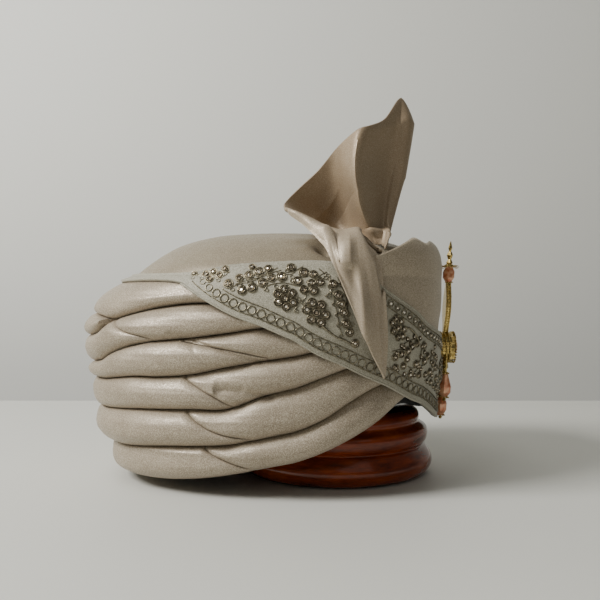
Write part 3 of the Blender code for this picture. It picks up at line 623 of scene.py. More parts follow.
# %% Creases, seams and folds of the rolls
OUTER = 42
INNER = 4
ROLL_STATIONS = 420
CLOSER = 0.55
BOTTOM_CURL = 1.6
TOP_CURL = 0.1
SEAM_END = 0.0012
SEAM_RAMP = (-2.0, 4.0)
SEAM_POWER = 0.8
SEAM_ROUND = 0.0030
SEAM_WIDTH = 0.0055
FOLDS = (
    # turn and height of one end, then of the other, depth, width
    (105.8, 0.0711, 101.0, 0.0705, 0.0032, 0.0032),
    (101.0, 0.0705, 94.5, 0.0668, 0.0026, 0.0018),
    (113.1, 0.1022, 105.3, 0.0962, 0.0014, 0.0011),
    (105.3, 0.0962, 96.7, 0.0889, 0.0020, 0.0013),
    (113.9, 0.1012, 108.8, 0.0866, 0.0008, 0.0010),
    (118.5, 0.1070, 116.5, 0.1045, 0.0012, 0.0016),
    (240.0, 0.0960, 252.0, 0.0890, 0.0012, 0.0014),
    (255.0, 0.0560, 263.0, 0.0520, 0.0014, 0.0020),
)
FOLD_ENDS = 0.3
FOLD_POWER = 1.5
PADDED_DEPTH = 1.70
BULGE_SKEW = 0.86
BULGE_POWER = 0.54
BACK_SHALLOW = 0.50
BACK_FILL = 0.0030
BACK_TURN = 42.0
BACK_MIDDLE = 0.098
BACK_HEIGHT = 0.034
METRES_PER_TURN = 0.00185
# Unevenness of the padding: its depth, then how close it lies along the roll and up
DENTS = (0.0007, 38, 90)
DRAGS = (0.00028, 16, 420)


def bulge(share):
    """How far a roll lies in at a share of its height: 0 at its middle, 1 at its edges."""
    return 1.0 - (1.0 - abs(2 * share ** BULGE_SKEW - 1.0) ** 2.0) ** BULGE_POWER


def crease_depth(turn):
    """Depth of the creases between the rolls, less where the rolls are thin or low."""
    bottom, top = crease_height(turn, "bottom"), crease_height(turn, "one")
    middle = (bottom + top) / 2
    thickness = (body_point(turn, middle) - hollow_point(turn, middle, LINING_WALL)).length
    return min(CREASE_DEPTH * (top - bottom) / WRAP_RISE, CREASE_SHARE * thickness)


def fold_depth(turn, height):
    """Depth of the pressed folds at a place on the rolls."""
    turn %= 360.0
    deepest = 0.0
    for turn_a, height_a, turn_b, height_b, depth, width in FOLDS:
        one, two, here = (Vector((place * METRES_PER_TURN, rise)) for place, rise in
                          ((turn_a, height_a), (turn_b, height_b), (turn, height)))
        line = two - one
        share = (here - one).dot(line) / line.length_squared
        if -FOLD_ENDS < share < 1.0 + FOLD_ENDS:
            away = (here - one - line * min(max(share, 0.0), 1.0)).length
            deepest = max(deepest, depth * math.exp(-(away / width) ** FOLD_POWER))
    return deepest


def at_back(turn):
    """1 at the middle of the back, falling to 0 at the sides."""
    return math.exp(-((turn % 360.0 - 180.0) / BACK_TURN) ** 2)


def back_fill(turn, height):
    """The padding stands out a little more at the back of the upper rolls."""
    rise = (height - BACK_MIDDLE) / BACK_HEIGHT
    return BACK_FILL * at_back(turn) * math.exp(-rise ** 4)


def ripple(turn, height, seed):
    """Soft unevenness of the padding, with faint lengthwise drag lines."""
    along = turn * METRES_PER_TURN
    return sum(depth * noise.noise(Vector((along * length, height * rise, seed + shift)))
               for (depth, length, rise), shift in ((DENTS, 0.0), (DRAGS, 7.0)))


def section_point(turn, v, edges, seed, roll=None, seams=(0.0, 0.0), lower=1.0, upper=1.0):
    """A point of a roll's section, which goes up its outer side and down its side against the
    lining.

    The cloth fills the height between its edges, and its roundness is that of the whole
    roll, which is higher where a seam cuts across it.
    """
    low, high = edges
    split = OUTER / (OUTER + INNER)
    if split < v < 1.0:
        step = 1.0 - (v - split) / (1.0 - split)
        return hollow_point(turn, low + (high - low) * step, LINING_WALL + SEAT)
    step = 0.5 - 0.5 * math.cos(math.pi * v / split) if v < 1.0 else 0.0
    height = low + (high - low) * step
    roll_low, roll_high = roll or edges
    share = min(max((height - roll_low) / (roll_high - roll_low), 0.0), 1.0)
    depth = crease_depth(turn) * PADDED_DEPTH * (1.0 - BACK_SHALLOW * at_back(turn))
    inset = depth * bulge(share) * (lower if share < 0.5 else upper)
    for seam, distance in zip(seams, (height - low, high - height)):
        if seam:
            near = max(1.0 - distance / SEAM_WIDTH, 0.0)
            inset += seam * SEAM_ROUND * (1.0 - math.sqrt(1.0 - near ** 2)) ** SEAM_POWER
    inset -= ripple(turn, height, seed) * (1.0 - abs(2 * share - 1) ** 4)
    inset += fold_depth(turn, height) - back_fill(turn, height)
    return body_point(turn, height, -inset)


def seam_height(turn, low, high, nose, tail, bend):
    """Height of the slanting seam between a roll's nose and its tail."""
    share = (turn - tail) / (nose - tail)
    share += bend * math.sin(math.pi * share)
    margin = SEAM_END + CREASE_GAP
    return low + margin + (high - low - 2 * margin) * share


def gap_edges(turn, low_name, high_name):
    """Lower and upper edge of the cloth between two creases, clear of its neighbours."""
    return (crease_height(turn, low_name) + CREASE_GAP / 2,
            crease_height(turn, high_name) - CREASE_GAP / 2)


def roll_strand(name, low_name, high_name, nose, tail, bend, seed):
    """A roll that is one turn of cloth, from its nose to its tail under that nose."""
    start, end = nose, tail - 360.0
    lower = BOTTOM_CURL if low_name == "bottom" else 1.0

    def place(u, v):
        turn = start + (end - start) * (u - CLOSER * math.sin(math.tau * u) / math.tau)
        low, high = crease_height(turn, low_name), crease_height(turn, high_name)
        piece_low, piece_high = gap_edges(turn, low_name, high_name)
        seam_low = seam_high = 0.0
        if turn >= tail - 1e-9:
            piece_low = seam_height(turn, low, high, nose, tail, bend) + CREASE_GAP / 2
            seam_low = smooth_step(turn - tail, *SEAM_RAMP)
        right = turn + 360.0
        if right <= nose:
            piece_high = seam_height(right, low, high, nose, tail, bend) - CREASE_GAP / 2
            seam_high = smooth_step(nose - right, *SEAM_RAMP)
        return section_point(turn, v, (piece_low, piece_high), seed, (low, high),
                             (seam_low, seam_high), lower)

    return laid_grid(name, ROLL_STATIONS, OUTER + INNER, place, close_ends=True)


def roll_ring(name, low_name, high_name, seed):
    """A roll that is a closed ring, and that lies flat against the crown at its top."""
    def place(u, v):
        turn = closed_turn(u)
        return section_point(turn, v, gap_edges(turn, low_name, high_name), seed,
                             upper=TOP_CURL)

    return laid_grid(name, ROLL_STATIONS, OUTER + INNER, place)


# %% Wind the rolls
ROLLS = (
    # name, lower crease, upper crease, nose turn, tail turn, seam bend
    ("wrap_2", "three", "tuck", 144.0, 126.0, -0.10),
    ("wrap_3", "four", "three", 117.0, 94.5, 0.10),
    ("wrap_4", "five", "four", 117.0, 103.5, 0.00),
    ("wrap_5", "six", "five", 117.0, 99.0, -0.10),
    ("wrap_6", "bottom", "six", 112.5, 99.0, 0.00),
)
TOP_SEED = 31.3
for seed, row in enumerate(ROLLS):
    roll = roll_strand("cloth_" + row[0], *row[1:], seed * 3.7)
    dress(roll, satin, "satin", row[0])
top_roll = roll_ring("cloth_wrap_1", "two", "one", TOP_SEED)
dress(top_roll, satin, "satin", "wrap_1")

# %% The short strand at the back
TUCK_TURN = 148.5
TUCK_SEED = 52.0


def tuck_place(u, v):
    turn = 360.0 - TUCK_TURN + (2 * TUCK_TURN - 360.0) * u
    return section_point(turn, v, gap_edges(turn, "tuck", "two"), TUCK_SEED)


tuck = laid_grid("cloth_wrap_tuck", 60, OUTER + INNER, tuck_place, close_ends=True)
dress(tuck, satin, "satin", "wrap_tuck")

# %% [markdown]
# ## The crown
#
# The crown is one cloth over padding. It is gathered where the plume is pulled out of it,
# so shallow folds run out from that place and die away.

# %% Crown
NECK_TURN = 52.0
NECK_SHARE = 0.80
GATHERS = 11
GATHER_REACH = 0.030
GATHER_DEPTH = 0.0044
GATHER_START = 0.012
GATHER_SWAY = 2.2
GATHER_POWER = 1.6
RECESS_PLACE = (-0.034, -0.014)
RECESS_REACH = 0.006
RECESS_DEPTH = 0.009
CROWN_ROWS = 70
CROWN_SKIRT = 0.14
CROWN_WALL = 0.003
CROWN_TOP = 0.991
CROWN_POLE = 0.9999
DENTS_FULL = 0.3
CROWN_DENTS = 0.0006


def surface_height(x, y):
    """Height of the crown's surface over a place, found by halving."""
    low, high = WRAP_TOP, WRAP_TOP + CROWN_RISE
    for _ in range(30):
        middle = (low + high) / 2
        front, back, side = body_reach(middle)
        along = abs(x - HEAD_CENTRE) / (front if x > HEAD_CENTRE else back)
        inside = along ** PLAN_POWER + (abs(y) / side) ** PLAN_POWER < 1.0
        low, high = (middle, high) if inside else (low, middle)
    return low


def neck_centre():
    """The place on the crown where the plume comes out."""
    front, back, side = (reach * NECK_SHARE for reach in body_reach(WRAP_TOP))
    centre = plan_point(NECK_TURN, front, back, side, 0.0)
    centre.z = surface_height(centre.x, centre.y)
    return centre


NECK = neck_centre()


def gather_depth(point):
    """Depth of the folds that run out from the plume's neck and die away."""
    away = Vector((point.x - NECK.x, point.y - NECK.y))
    distance = away.length
    angle = math.atan2(away.y, away.x)
    sway = GATHER_SWAY * math.sin(angle * 2)
    wave = (0.5 + 0.5 * math.cos(GATHERS * angle + sway)) ** GATHER_POWER
    fading = math.exp(-distance / GATHER_REACH) * smooth_step(distance, 0.0, GATHER_START)
    return GATHER_DEPTH * wave * fading


def recess_depth(point):
    """Depth of the dark recess beside the plume's foot, where the crown cloth is pulled in."""
    away = math.hypot(point.x - NECK.x - RECESS_PLACE[0], point.y - NECK.y - RECESS_PLACE[1])
    return RECESS_DEPTH * math.exp(-(away / RECESS_REACH) ** 2)


def crown_place(u, v):
    turn = closed_turn(u)
    low = crease_height(turn, "one") + CREASE_GAP / 2
    if v <= CROWN_SKIRT:
        point = body_point(turn, low + (WRAP_TOP - low) * v / CROWN_SKIRT)
    else:
        rise = math.sin((v - CROWN_SKIRT) / (1.0 - CROWN_SKIRT) * math.pi / 2)
        height = WRAP_TOP + CROWN_RISE * min(rise, 1.0)
        if rise > CROWN_POLE:
            return Vector((HEAD_CENTRE, 0.0, WRAP_TOP + CROWN_RISE))
        point = body_point(turn, height)
        if rise > CROWN_TOP:
            reach = math.sqrt((1.0 - rise) / (1.0 - CROWN_TOP))
            edge = body_point(turn, WRAP_TOP + CROWN_RISE * CROWN_TOP)
            point = Vector((HEAD_CENTRE, 0, 0)).lerp(Vector((edge.x, edge.y, 0)), reach)
            point.z = height
    point.z -= gather_depth(point) + recess_depth(point)
    dents = noise.noise(Vector((point.x * 22, point.y * 30, 3.1)))
    point.z += CROWN_DENTS * dents * smooth_step(v, 0.0, DENTS_FULL)
    return point


crown = laid_grid("cloth_crown", 260, CROWN_ROWS, crown_place)
thicken(crown, CROWN_WALL, offset=-1.0, even=False)
dress(crown, crown_satin_painted_shade, "satin", "crown")

# %% [markdown]
# ## Lining, front panel and band
#
# These are single cloths, so each is a laid grid with a thickness. The panel is stiffened
# and stands free at its top edge. The band lies on the rolls and over the panel's foot.

# %% Lining
LINING_RISE = 0.003
LINING_DROP = 0.022
LINING_TUCK = 0.020
LINING_TURN = 45.0
LINING_WAVE = 0.0004


def lining_place(u, v):
    turn = closed_turn(u)
    front = math.exp(-(from_front(turn) / LINING_TURN) ** 4)
    low = crease_height(turn, "bottom") + LINING_RISE - LINING_DROP * front
    high = max(DOME_START, crease_height(turn, "bottom") + LINING_TUCK)
    wave = LINING_WAVE * noise.noise(Vector((turn * 0.2, v * 4, 9.0)))
    return hollow_point(turn, low + (high - low) * v, wave)


lining = laid_grid("cloth_lining", 200, 12, lining_place)
thicken(lining, LINING_WALL)
dress(lining, black_lining, "lining", "lining")

# %% Front panel


def panel_place(u, v):
    turn = -PANEL_SPAN + 2 * PANEL_SPAN * u
    low, high = band_edges(turn)
    base = high - (high - low) * PANEL_TUCK
    top = WRAP_TOP + PANEL_RISE * smooth_read(PANEL_TOP, from_front(turn), 1)
    height = base + (top - base) * v
    if height <= WRAP_TOP:
        return body_point(turn, height, SEAT)
    lean = smooth_read(PANEL_LEAN, (height - WRAP_TOP) / PANEL_RISE, 1)
    front, back, side = (reach * lean + SEAT for reach in body_reach(WRAP_TOP))
    return plan_point(turn, front, back, side, height)


panel = laid_grid("cloth_front_panel", 160, 40, panel_place)
thicken(panel, CLOTH)
dress(panel, panel_satin_painted_light, "satin", "front_panel")

# %% Band


def band_place(u, v):
    return band_point(closed_turn(u), v, -CLOTH)


band = laid_grid("cloth_band", 300, 26, band_place)
thicken(band, CLOTH)
dress(band, band_cloth, "band_cloth", "band")

# %% [markdown]
# ## The embroidery
#
# Round clear stones sit in dark metal cups on the band, in sprays and flowers of a common
# kind. A row of metal rings follows the lower edge, and twisted cords edge the pattern.
# One stone, one cup and one ring are modelled, and copies of them are laid on the band.
# The places are given by turn and by share of the band's depth, on the wearer's right, and
# the other side mirrors them.

# %% Places of the stones
SPRAYS = (
    # turn and share of each stone, then its radius in mm
    (119.0, 0.92, 1.5), (114.7, 0.81, 2.0), (112.4, 0.87, 1.9), (109.8, 0.74, 2.1),
    (111.7, 0.61, 1.9), (109.0, 0.93, 1.8), (105.2, 0.58, 2.2), (103.1, 0.73, 2.0),
    (100.8, 0.79, 2.2), (98.3, 0.86, 2.2), (95.8, 0.91, 2.0), (100.6, 0.95, 1.6),
    (100.9, 0.51, 2.1), (98.6, 0.58, 2.2), (96.4, 0.68, 2.2), (94.5, 0.77, 2.0),
    (92.1, 0.80, 2.3), (90.1, 0.93, 2.1), (87.0, 0.87, 2.3), (84.3, 0.86, 1.9),
    (88.6, 0.76, 2.2), (84.9, 0.76, 1.8), (82.4, 0.78, 2.0), (84.2, 0.68, 2.2),
    (87.0, 0.67, 1.9), (78.4, 0.78, 2.1), (76.9, 0.68, 2.2), (75.7, 0.60, 2.1),
    (74.9, 0.53, 2.2), (74.1, 0.43, 2.1), (72.7, 0.36, 2.0), (70.7, 0.28, 1.9),
    (54.7, 0.36, 1.9), (54.1, 0.25, 1.7), (50.3, 0.32, 1.8), (49.1, 0.50, 1.9),
    (52.0, 0.43, 1.9), (47.0, 0.58, 1.8), (44.0, 0.65, 1.8), (38.9, 0.51, 2.0),
    (43.9, 0.42, 1.9), (49.1, 0.41, 1.6), (33.7, 0.43, 1.9), (40.9, 0.32, 1.7),
    (46.1, 0.27, 1.8), (39.0, 0.70, 1.8), (36.0, 0.60, 1.8), (36.6, 0.37, 1.6),
    (31.2, 0.55, 1.9), (29.0, 0.66, 1.8), (30.5, 0.33, 1.7), (26.0, 0.42, 1.9),
    (23.0, 0.32, 1.7), (10.5, 0.34, 1.8), (7.0, 0.47, 1.9), (6.0, 0.62, 1.8),
    (10.0, 0.72, 1.8),
)
FLOWERS = (
    # centre turn and share, reach of the petals and stone radius in mm, petals, first angle
    (91.1, 0.52, 5.2, 2.1, 6, 20.0),
    (83.4, 0.45, 6.0, 2.2, 6, 0.0),
    (54.4, 0.68, 5.6, 1.8, 7, 10.0),
    (18.0, 0.55, 6.0, 2.0, 6, 30.0),
)
STEMS = (
    # turns and shares that a thin stem passes through
    ((119.5, 0.86), (116.5, 0.76), (113.0, 0.76), (110.8, 0.82)),
    ((113.5, 0.70), (110.5, 0.66), (108.2, 0.72), (107.6, 0.86)),
    ((104.6, 0.50), (102.0, 0.62), (99.5, 0.68), (97.4, 0.76), (95.2, 0.84), (92.4, 0.90)),
    ((103.2, 0.60), (101.0, 0.69), (98.4, 0.75), (96.0, 0.84), (93.4, 0.93)),
    ((93.5, 0.86), (90.4, 0.84), (89.0, 0.90), (87.2, 0.95)),
    ((95.6, 0.56), (94.8, 0.66), (91.6, 0.72), (89.2, 0.70)),
    ((89.4, 0.36), (88.4, 0.50), (86.6, 0.58), (86.2, 0.70), (83.0, 0.84), (80.4, 0.90)),
    ((81.0, 0.64), (79.2, 0.72), (80.2, 0.84), (82.6, 0.93)),
    ((77.0, 0.86), (75.2, 0.74), (74.0, 0.64), (73.2, 0.50), (71.8, 0.42)),
    ((79.6, 0.86), (78.0, 0.60), (77.0, 0.50), (76.4, 0.40), (75.2, 0.30)),
    ((56.4, 0.40), (52.6, 0.48), (50.6, 0.57), (46.0, 0.67), (42.0, 0.71)),
    ((56.6, 0.22), (52.0, 0.20), (48.0, 0.22), (44.0, 0.32), (41.0, 0.42), (37.2, 0.50)),
    ((48.0, 0.34), (45.0, 0.36), (41.6, 0.50), (41.0, 0.62), (37.8, 0.66)),
    ((36.0, 0.30), (33.6, 0.35), (31.0, 0.44), (28.4, 0.52), (27.2, 0.62)),
    ((34.0, 0.52), (33.0, 0.62), (31.4, 0.70), (28.0, 0.76)),
    ((28.6, 0.30), (25.0, 0.36), (21.0, 0.34), (17.0, 0.28), (12.0, 0.30)),
    ((13.0, 0.62), (9.0, 0.60), (7.6, 0.54), (8.4, 0.42), (11.6, 0.38)),
    ((4.0, 0.34), (4.0, 0.46), (3.4, 0.60), (4.6, 0.74)),
)
THICK_STEMS = (
    ((81.6, 0.33), (79.5, 0.29), (76.9, 0.26), (74.3, 0.26), (70.5, 0.25)),
    ((51.5, 0.72), (49.0, 0.755), (46.5, 0.75), (44.6, 0.73), (43.2, 0.69)),
    ((23.5, 0.55), (27.0, 0.58), (29.0, 0.57)),
)
STONE_RISE = 0.0011
STONE_TALL = 0.6
STONE_TIP = 0.45
STONE_SHARE = 0.70
MIDDLE_STONE = 1.05
CUP_WIRE = 0.00050
CUP_SHARE = 0.88
MILLIMETRE = 0.001


def band_frame(turn, share, out=0.0):
    """Place on the band's face, with its directions along, up and outwards."""
    centre = band_point(turn, share, out)
    along = (band_point(turn + 0.2, share) - band_point(turn - 0.2, share)).normalized()
    upward = band_point(turn, min(share + 0.01, 1.0)) - band_point(turn, share - 0.01)
    outward = along.cross(upward).normalized()
    if outward.dot(Vector((centre.x - HEAD_CENTRE, centre.y, 0.0))) < 0:
        outward.negate()
    upward = outward.cross(along).normalized()
    frame_here = Matrix((along, upward, outward)).transposed().to_4x4()
    frame_here.translation = centre
    return frame_here


def smooth_path(points, count):
    """Points at even steps of a smooth curve through a stem's places."""
    path = [Vector((turn, share, 0.0)) for turn, share in points]
    return [spline(path, i / (count - 1)) for i in range(count)]


def both_sides(turn):
    return (turn, 360.0 - turn)


def tilted(place, chance):
    """A stone's frame, tipped a little as a stone set by hand is."""
    axis = Vector((chance.uniform(-1, 1), chance.uniform(-1, 1), 0.0)).normalized()
    return place @ Matrix.Rotation(chance.uniform(-STONE_TIP, STONE_TIP), 4, axis)


def stone_places():
    """Frame and radius of every stone on the band, flowers among them."""
    places = []
    for turn, share, radius in SPRAYS:
        places += [(band_frame(side, share), radius * MILLIMETRE) for side in both_sides(turn)]
    for turn, share, reach, radius, petals, first in FLOWERS:
        for side in both_sides(turn):
            middle = band_frame(side, share)
            low, high = band_edges(side)
            per_degree = (band_point(side + 0.5, share) - band_point(side - 0.5, share)).length
            places.append((middle, radius * MILLIMETRE * MIDDLE_STONE))
            for petal in range(petals):
                angle = math.radians(first) + math.tau * petal / petals
                place = (side + reach * MILLIMETRE * math.cos(angle) / per_degree,
                         share + reach * MILLIMETRE * math.sin(angle) / (high - low))
                places.append((band_frame(*place), radius * MILLIMETRE))
    return places


STONES = stone_places()
print("stones on the band", len(STONES))

# %% Model one stone, one cup and one ring
STONE_SIDES = 8
STONE_GIRDLE = 0.68
STONE_HALF = 0.30
STONE_DEEP = 0.50
STONE_TABLE = 0.34
TABLE_RISE = 0.16
CUP_MIDDLE = 0.10
RING_MIDDLE = 0.12


def template(name):
    """Takes the new primitive as a pattern for copies, and frees its object."""
    bpy.ops.object.transform_apply(location=True)
    pattern = bpy.context.active_object
    mesh = pattern.data
    mesh.name = name
    bpy.data.objects.remove(pattern)
    return mesh


def ring_template(name, wire, around, across, rise):
    """A ring of unit radius, whose wire has this radius and lies this high."""
    bpy.ops.mesh.primitive_torus_add(major_radius=1.0, minor_radius=wire,
                                     major_segments=around, minor_segments=across,
                                     location=(0, 0, rise))
    return template(name)


bpy.ops.object.select_all(action="DESELECT")
bpy.ops.mesh.primitive_cone_add(vertices=STONE_SIDES, radius1=1.0, radius2=STONE_GIRDLE,
                                depth=STONE_DEEP, location=(0, 0, STONE_HALF))
bpy.ops.object.transform_apply(location=True)
cone = bpy.context.active_object
bpy.ops.object.mode_set(mode="EDIT")
bpy.ops.mesh.select_mode(type="FACE")
bpy.ops.mesh.select_all(action="DESELECT")
bpy.ops.object.mode_set(mode="OBJECT")
for face in cone.data.polygons:
    face.select = face.normal.z > 0.99
bpy.ops.object.mode_set(mode="EDIT")
bpy.ops.mesh.inset(thickness=STONE_TABLE)
bpy.ops.transform.translate(value=(0, 0, TABLE_RISE))
bpy.ops.object.mode_set(mode="OBJECT")
stone_pattern = template("stone_pattern")
cup_pattern = ring_template("cup_pattern", 0.20, 10, 5, CUP_MIDDLE)
ring_pattern = ring_template("ring_pattern", 0.15, 18, 6, RING_MIDDLE)


def dress_copies(name, pattern, places, finish, slot_name, smooth=True):
    """One dressed object of copies of a pattern, each in its own frame and scale."""
    mesh = bpy.data.meshes.new(name)
    joined = bmesh.new()
    for frame_here, scale in places:
        copy = pattern.copy()
        copy.transform(frame_here @ Matrix.Diagonal((*scale, 1.0)))
        joined.from_mesh(copy)
        bpy.data.meshes.remove(copy)
    joined.to_mesh(mesh)
    joined.free()
    piece = bpy.data.objects.new(name, mesh)
    bpy.context.scene.collection.objects.link(piece)
    activate(piece)
    bpy.ops.object.mode_set(mode="EDIT")
    bpy.ops.mesh.select_all(action="SELECT")
    bpy.ops.mesh.normals_make_consistent(inside=False)
    bpy.ops.object.mode_set(mode="OBJECT")
    if smooth:
        bpy.ops.object.shade_smooth()
    dress(piece, finish, slot_name)


def round_scale(radius, height):
    return (radius, radius, height)


# %% Set the stones in their cups
by_hand = random.Random(7)
dress_copies("band_stones", stone_pattern,
             [(tilted(place, by_hand), round_scale(radius * STONE_SHARE, STONE_RISE / STONE_TALL))
              for place, radius in STONES], clear_stone, "pink_glass", smooth=False)
dress_copies("band_cups", cup_pattern,
             [(place, round_scale(radius * CUP_SHARE, CUP_WIRE / CUP_MIDDLE))
              for place, radius in STONES], cup_metal, "gold")

# %% Thin loops round the stones, and small stones along the stems
LOOP_SHARE = 1.36
LOOP_LIFT = 0.0028
LEAFLET_STEP = 0.0034
LEAFLET_AWAY = 0.0019
LEAFLET_RADIUS = 0.0011
LEAFLET_RISE = 0.0013
LEAFLET_FRONT = 60.0
LEAFLET_CUP = (1.15, 0.0036)  # its radius in those of its stone, and its height
CURL_STEP = 0.0032
CURL_AWAY = 0.0021
CURL_RADIUS = 0.0013
CURL_OVAL = 0.8
STEM_STEPS = 120
STEM_ROOM = (0.20, 0.92)


def beside_stems(front, pitch, aside):
    """Places in turn on both sides of the stems, of the front part or of the rest."""
    found = []
    for stem in STEMS:
        if (stem[0][0] <= LEAFLET_FRONT) != front:
            continue
        since, side_now, before = 0.0, 1.0, None
        for place in smooth_path(stem, STEM_STEPS):
            here = band_frame(place.x, place.y)
            step = (here.translation - before).length if before else 0.0
            before = here.translation.copy()
            since += step
            if since < pitch:
                continue
            since, side_now = 0.0, -side_now
            low, high = band_edges(place.x)
            share = place.y + side_now * aside / (high - low)
            if STEM_ROOM[0] < share < STEM_ROOM[1]:
                found += [band_frame(side, share) for side in both_sides(place.x)]
    return found


dress_copies("band_loops", ring_pattern,
             [(place, round_scale(radius * LOOP_SHARE, LOOP_LIFT)) for place, radius in STONES]
             + [(place, (CURL_RADIUS, CURL_RADIUS * CURL_OVAL, LOOP_LIFT))
                for place in beside_stems(False, CURL_STEP, CURL_AWAY)], thread_metal, "gold")
LEAFLETS = beside_stems(True, LEAFLET_STEP, LEAFLET_AWAY)
dress_copies("band_leaflets", stone_pattern,
             [(tilted(place, by_hand), round_scale(LEAFLET_RADIUS, LEAFLET_RISE))
              for place in LEAFLETS], clear_stone, "pink_glass", smooth=False)
dress_copies("band_leaflet_cups", cup_pattern,
             [(place, round_scale(LEAFLET_RADIUS * LEAFLET_CUP[0], LEAFLET_CUP[1]))
              for place in LEAFLETS], cup_metal, "gold", smooth=False)
print("small stones along the stems", len(LEAFLETS))

# %% Rings along the lower edge, and small ones along the upper edge at the front
RING_PITCH = 0.0063
RING_RADIUS = 0.0026
RING_HEIGHT = 0.0076
RING_FIRST = 1.0
RING_LAST = 117.0
SMALL_PITCH = 0.0060
SMALL_RADIUS = 0.0021
SMALL_DROP = 0.0068
SMALL_LAST = 66.0
RING_LIFT = 0.0026
RING_TAPER = 0.35
TAPER_TURNS = (105.0, 117.0)
EDGE_STEP = 0.1
SMALL_STONE = (0.0012, 0.0012, 0.0014)


def edge_share(turn, from_low, from_high):
    """Share of the band's depth at a height over its lower edge or under its upper one."""
    low, high = band_edges(turn)
    return (from_low if from_high is None else high - low - from_high) / (high - low)


def along_edge(first, last, pitch, from_low=None, from_high=None):
    """Turns and shares at an even pitch along one edge of the band."""
    found = []
    turn, since, before = first, pitch, None
    while turn < last:
        share = edge_share(turn, from_low, from_high)
        point = band_point(turn, share)
        since += (point - before).length if before else 0.0
        if since >= pitch:
            found.append((turn, share))
            since = 0.0
        before = point
        turn += EDGE_STEP
    return found


rings = []
for turn, share in along_edge(RING_FIRST, RING_LAST, RING_PITCH, from_low=RING_HEIGHT):
    radius = RING_RADIUS * (1.0 - RING_TAPER * smooth_step(turn, *TAPER_TURNS))
    rings += [(band_frame(side, share), round_scale(radius, RING_LIFT))
              for side in both_sides(turn)]
for turn, share in along_edge(RING_FIRST, SMALL_LAST, SMALL_PITCH, from_high=SMALL_DROP):
    rings += [(band_frame(side, share), round_scale(SMALL_RADIUS, RING_LIFT))
              for side in both_sides(turn)]
dress_copies("band_rings", ring_pattern, rings, thread_metal, "gold")

# %% Small stones in the upper rings
dress_copies("band_small_stones", stone_pattern,
             [(tilted(place, by_hand), SMALL_STONE) for place, scale in rings
              if scale[0] == SMALL_RADIUS], clear_stone, "pink_glass", smooth=False)

# %% Stems, cords and twisted edges
CORD_SEAT = 0.0003
TWIST_PITCH = 0.0022
TWIST_REACH = 0.00028
TWIST_STEP = 0.28
TWISTS = (
    # first and last turn, height over the lower edge, or depth under the upper edge
    (-117.0, 117.0, 0.0042, None),
    (-106.0, 106.0, 0.0118, None),
    (-64.0, 64.0, None, 0.0034),
    (-64.0, 64.0, None, 0.0102),
)


def dress_wires(name, paths, radius, finish, slot_name):
    """One dressed object of thin round wires that follow lists of points."""
    data = bpy.data.curves.new(name, "CURVE")
    data.dimensions = "3D"
    data.bevel_depth = radius
    data.bevel_resolution = 1
    data.use_fill_caps = True
    for path in paths:
        wire = data.splines.new("POLY")
        wire.points.add(len(path) - 1)
        for point, place in zip(wire.points, path):
            point.co = (*place, 1.0)
    piece = bpy.data.objects.new(name, data)
    bpy.context.scene.collection.objects.link(piece)
    activate(piece)
    bpy.ops.object.convert(target="MESH")
    bpy.ops.object.shade_smooth()
    dress(bpy.context.active_object, finish, slot_name)


def stem_paths(stems, steps):
    return [[band_point(360.0 - place.x if mirror else place.x, place.y, CORD_SEAT)
             for place in smooth_path(stem, steps)]
            for stem in stems for mirror in (False, True)]


def edge_path(share, out):
    """A path along an edge of the band, as far back as its deep part reaches."""
    return [band_point(turn * 0.5, share, out) for turn in range(-240, 241)]


def twisted_paths(first, last, from_low, from_high):
    """Two strands that wind round each other along an edge of the band."""
    strands = ([], [])
    length, before, turn = 0.0, None, first
    while turn <= last:
        middle = band_frame(turn, edge_share(turn, from_low, from_high), CORD_SEAT)
        length += (middle.translation - before).length if before else 0.0
        before = middle.translation.copy()
        angle = math.tau * length / TWIST_PITCH
        for strand, phase in zip(strands, (0.0, math.pi)):
            strand.append(middle @ Vector((0.0, TWIST_REACH * math.cos(angle + phase),
                                           TWIST_REACH * math.sin(angle + phase))))
        turn += TWIST_STEP
    return strands


WIRES = (
    # name, paths, radius, finish, slot
    ("band_stems", stem_paths(STEMS, 26), 0.00032, thread_metal, "gold"),
    ("band_thick_stems", stem_paths(THICK_STEMS, 30), 0.00075, thread_metal, "gold"),
    ("band_twists", [strand for row in TWISTS for strand in twisted_paths(*row)], 0.00024,
     thread_metal, "gold"),
    ("band_rim", [edge_path(0.992, -0.0002)], 0.0007, band_cloth, "band_cloth"),
    ("band_hem", [edge_path(0.012, -0.0003)], 0.0007, band_cloth, "band_cloth"),
)
for row in WIRES:
    dress_wires(*row)

# %% [markdown]
# ## The plume
#
# The plume is gathered at a narrow neck, opens like a lily and turns over at its front,
# where its tail falls on the band. Columns of cloth run from the neck to the free edge,
# and a smooth surface passes through all of them.

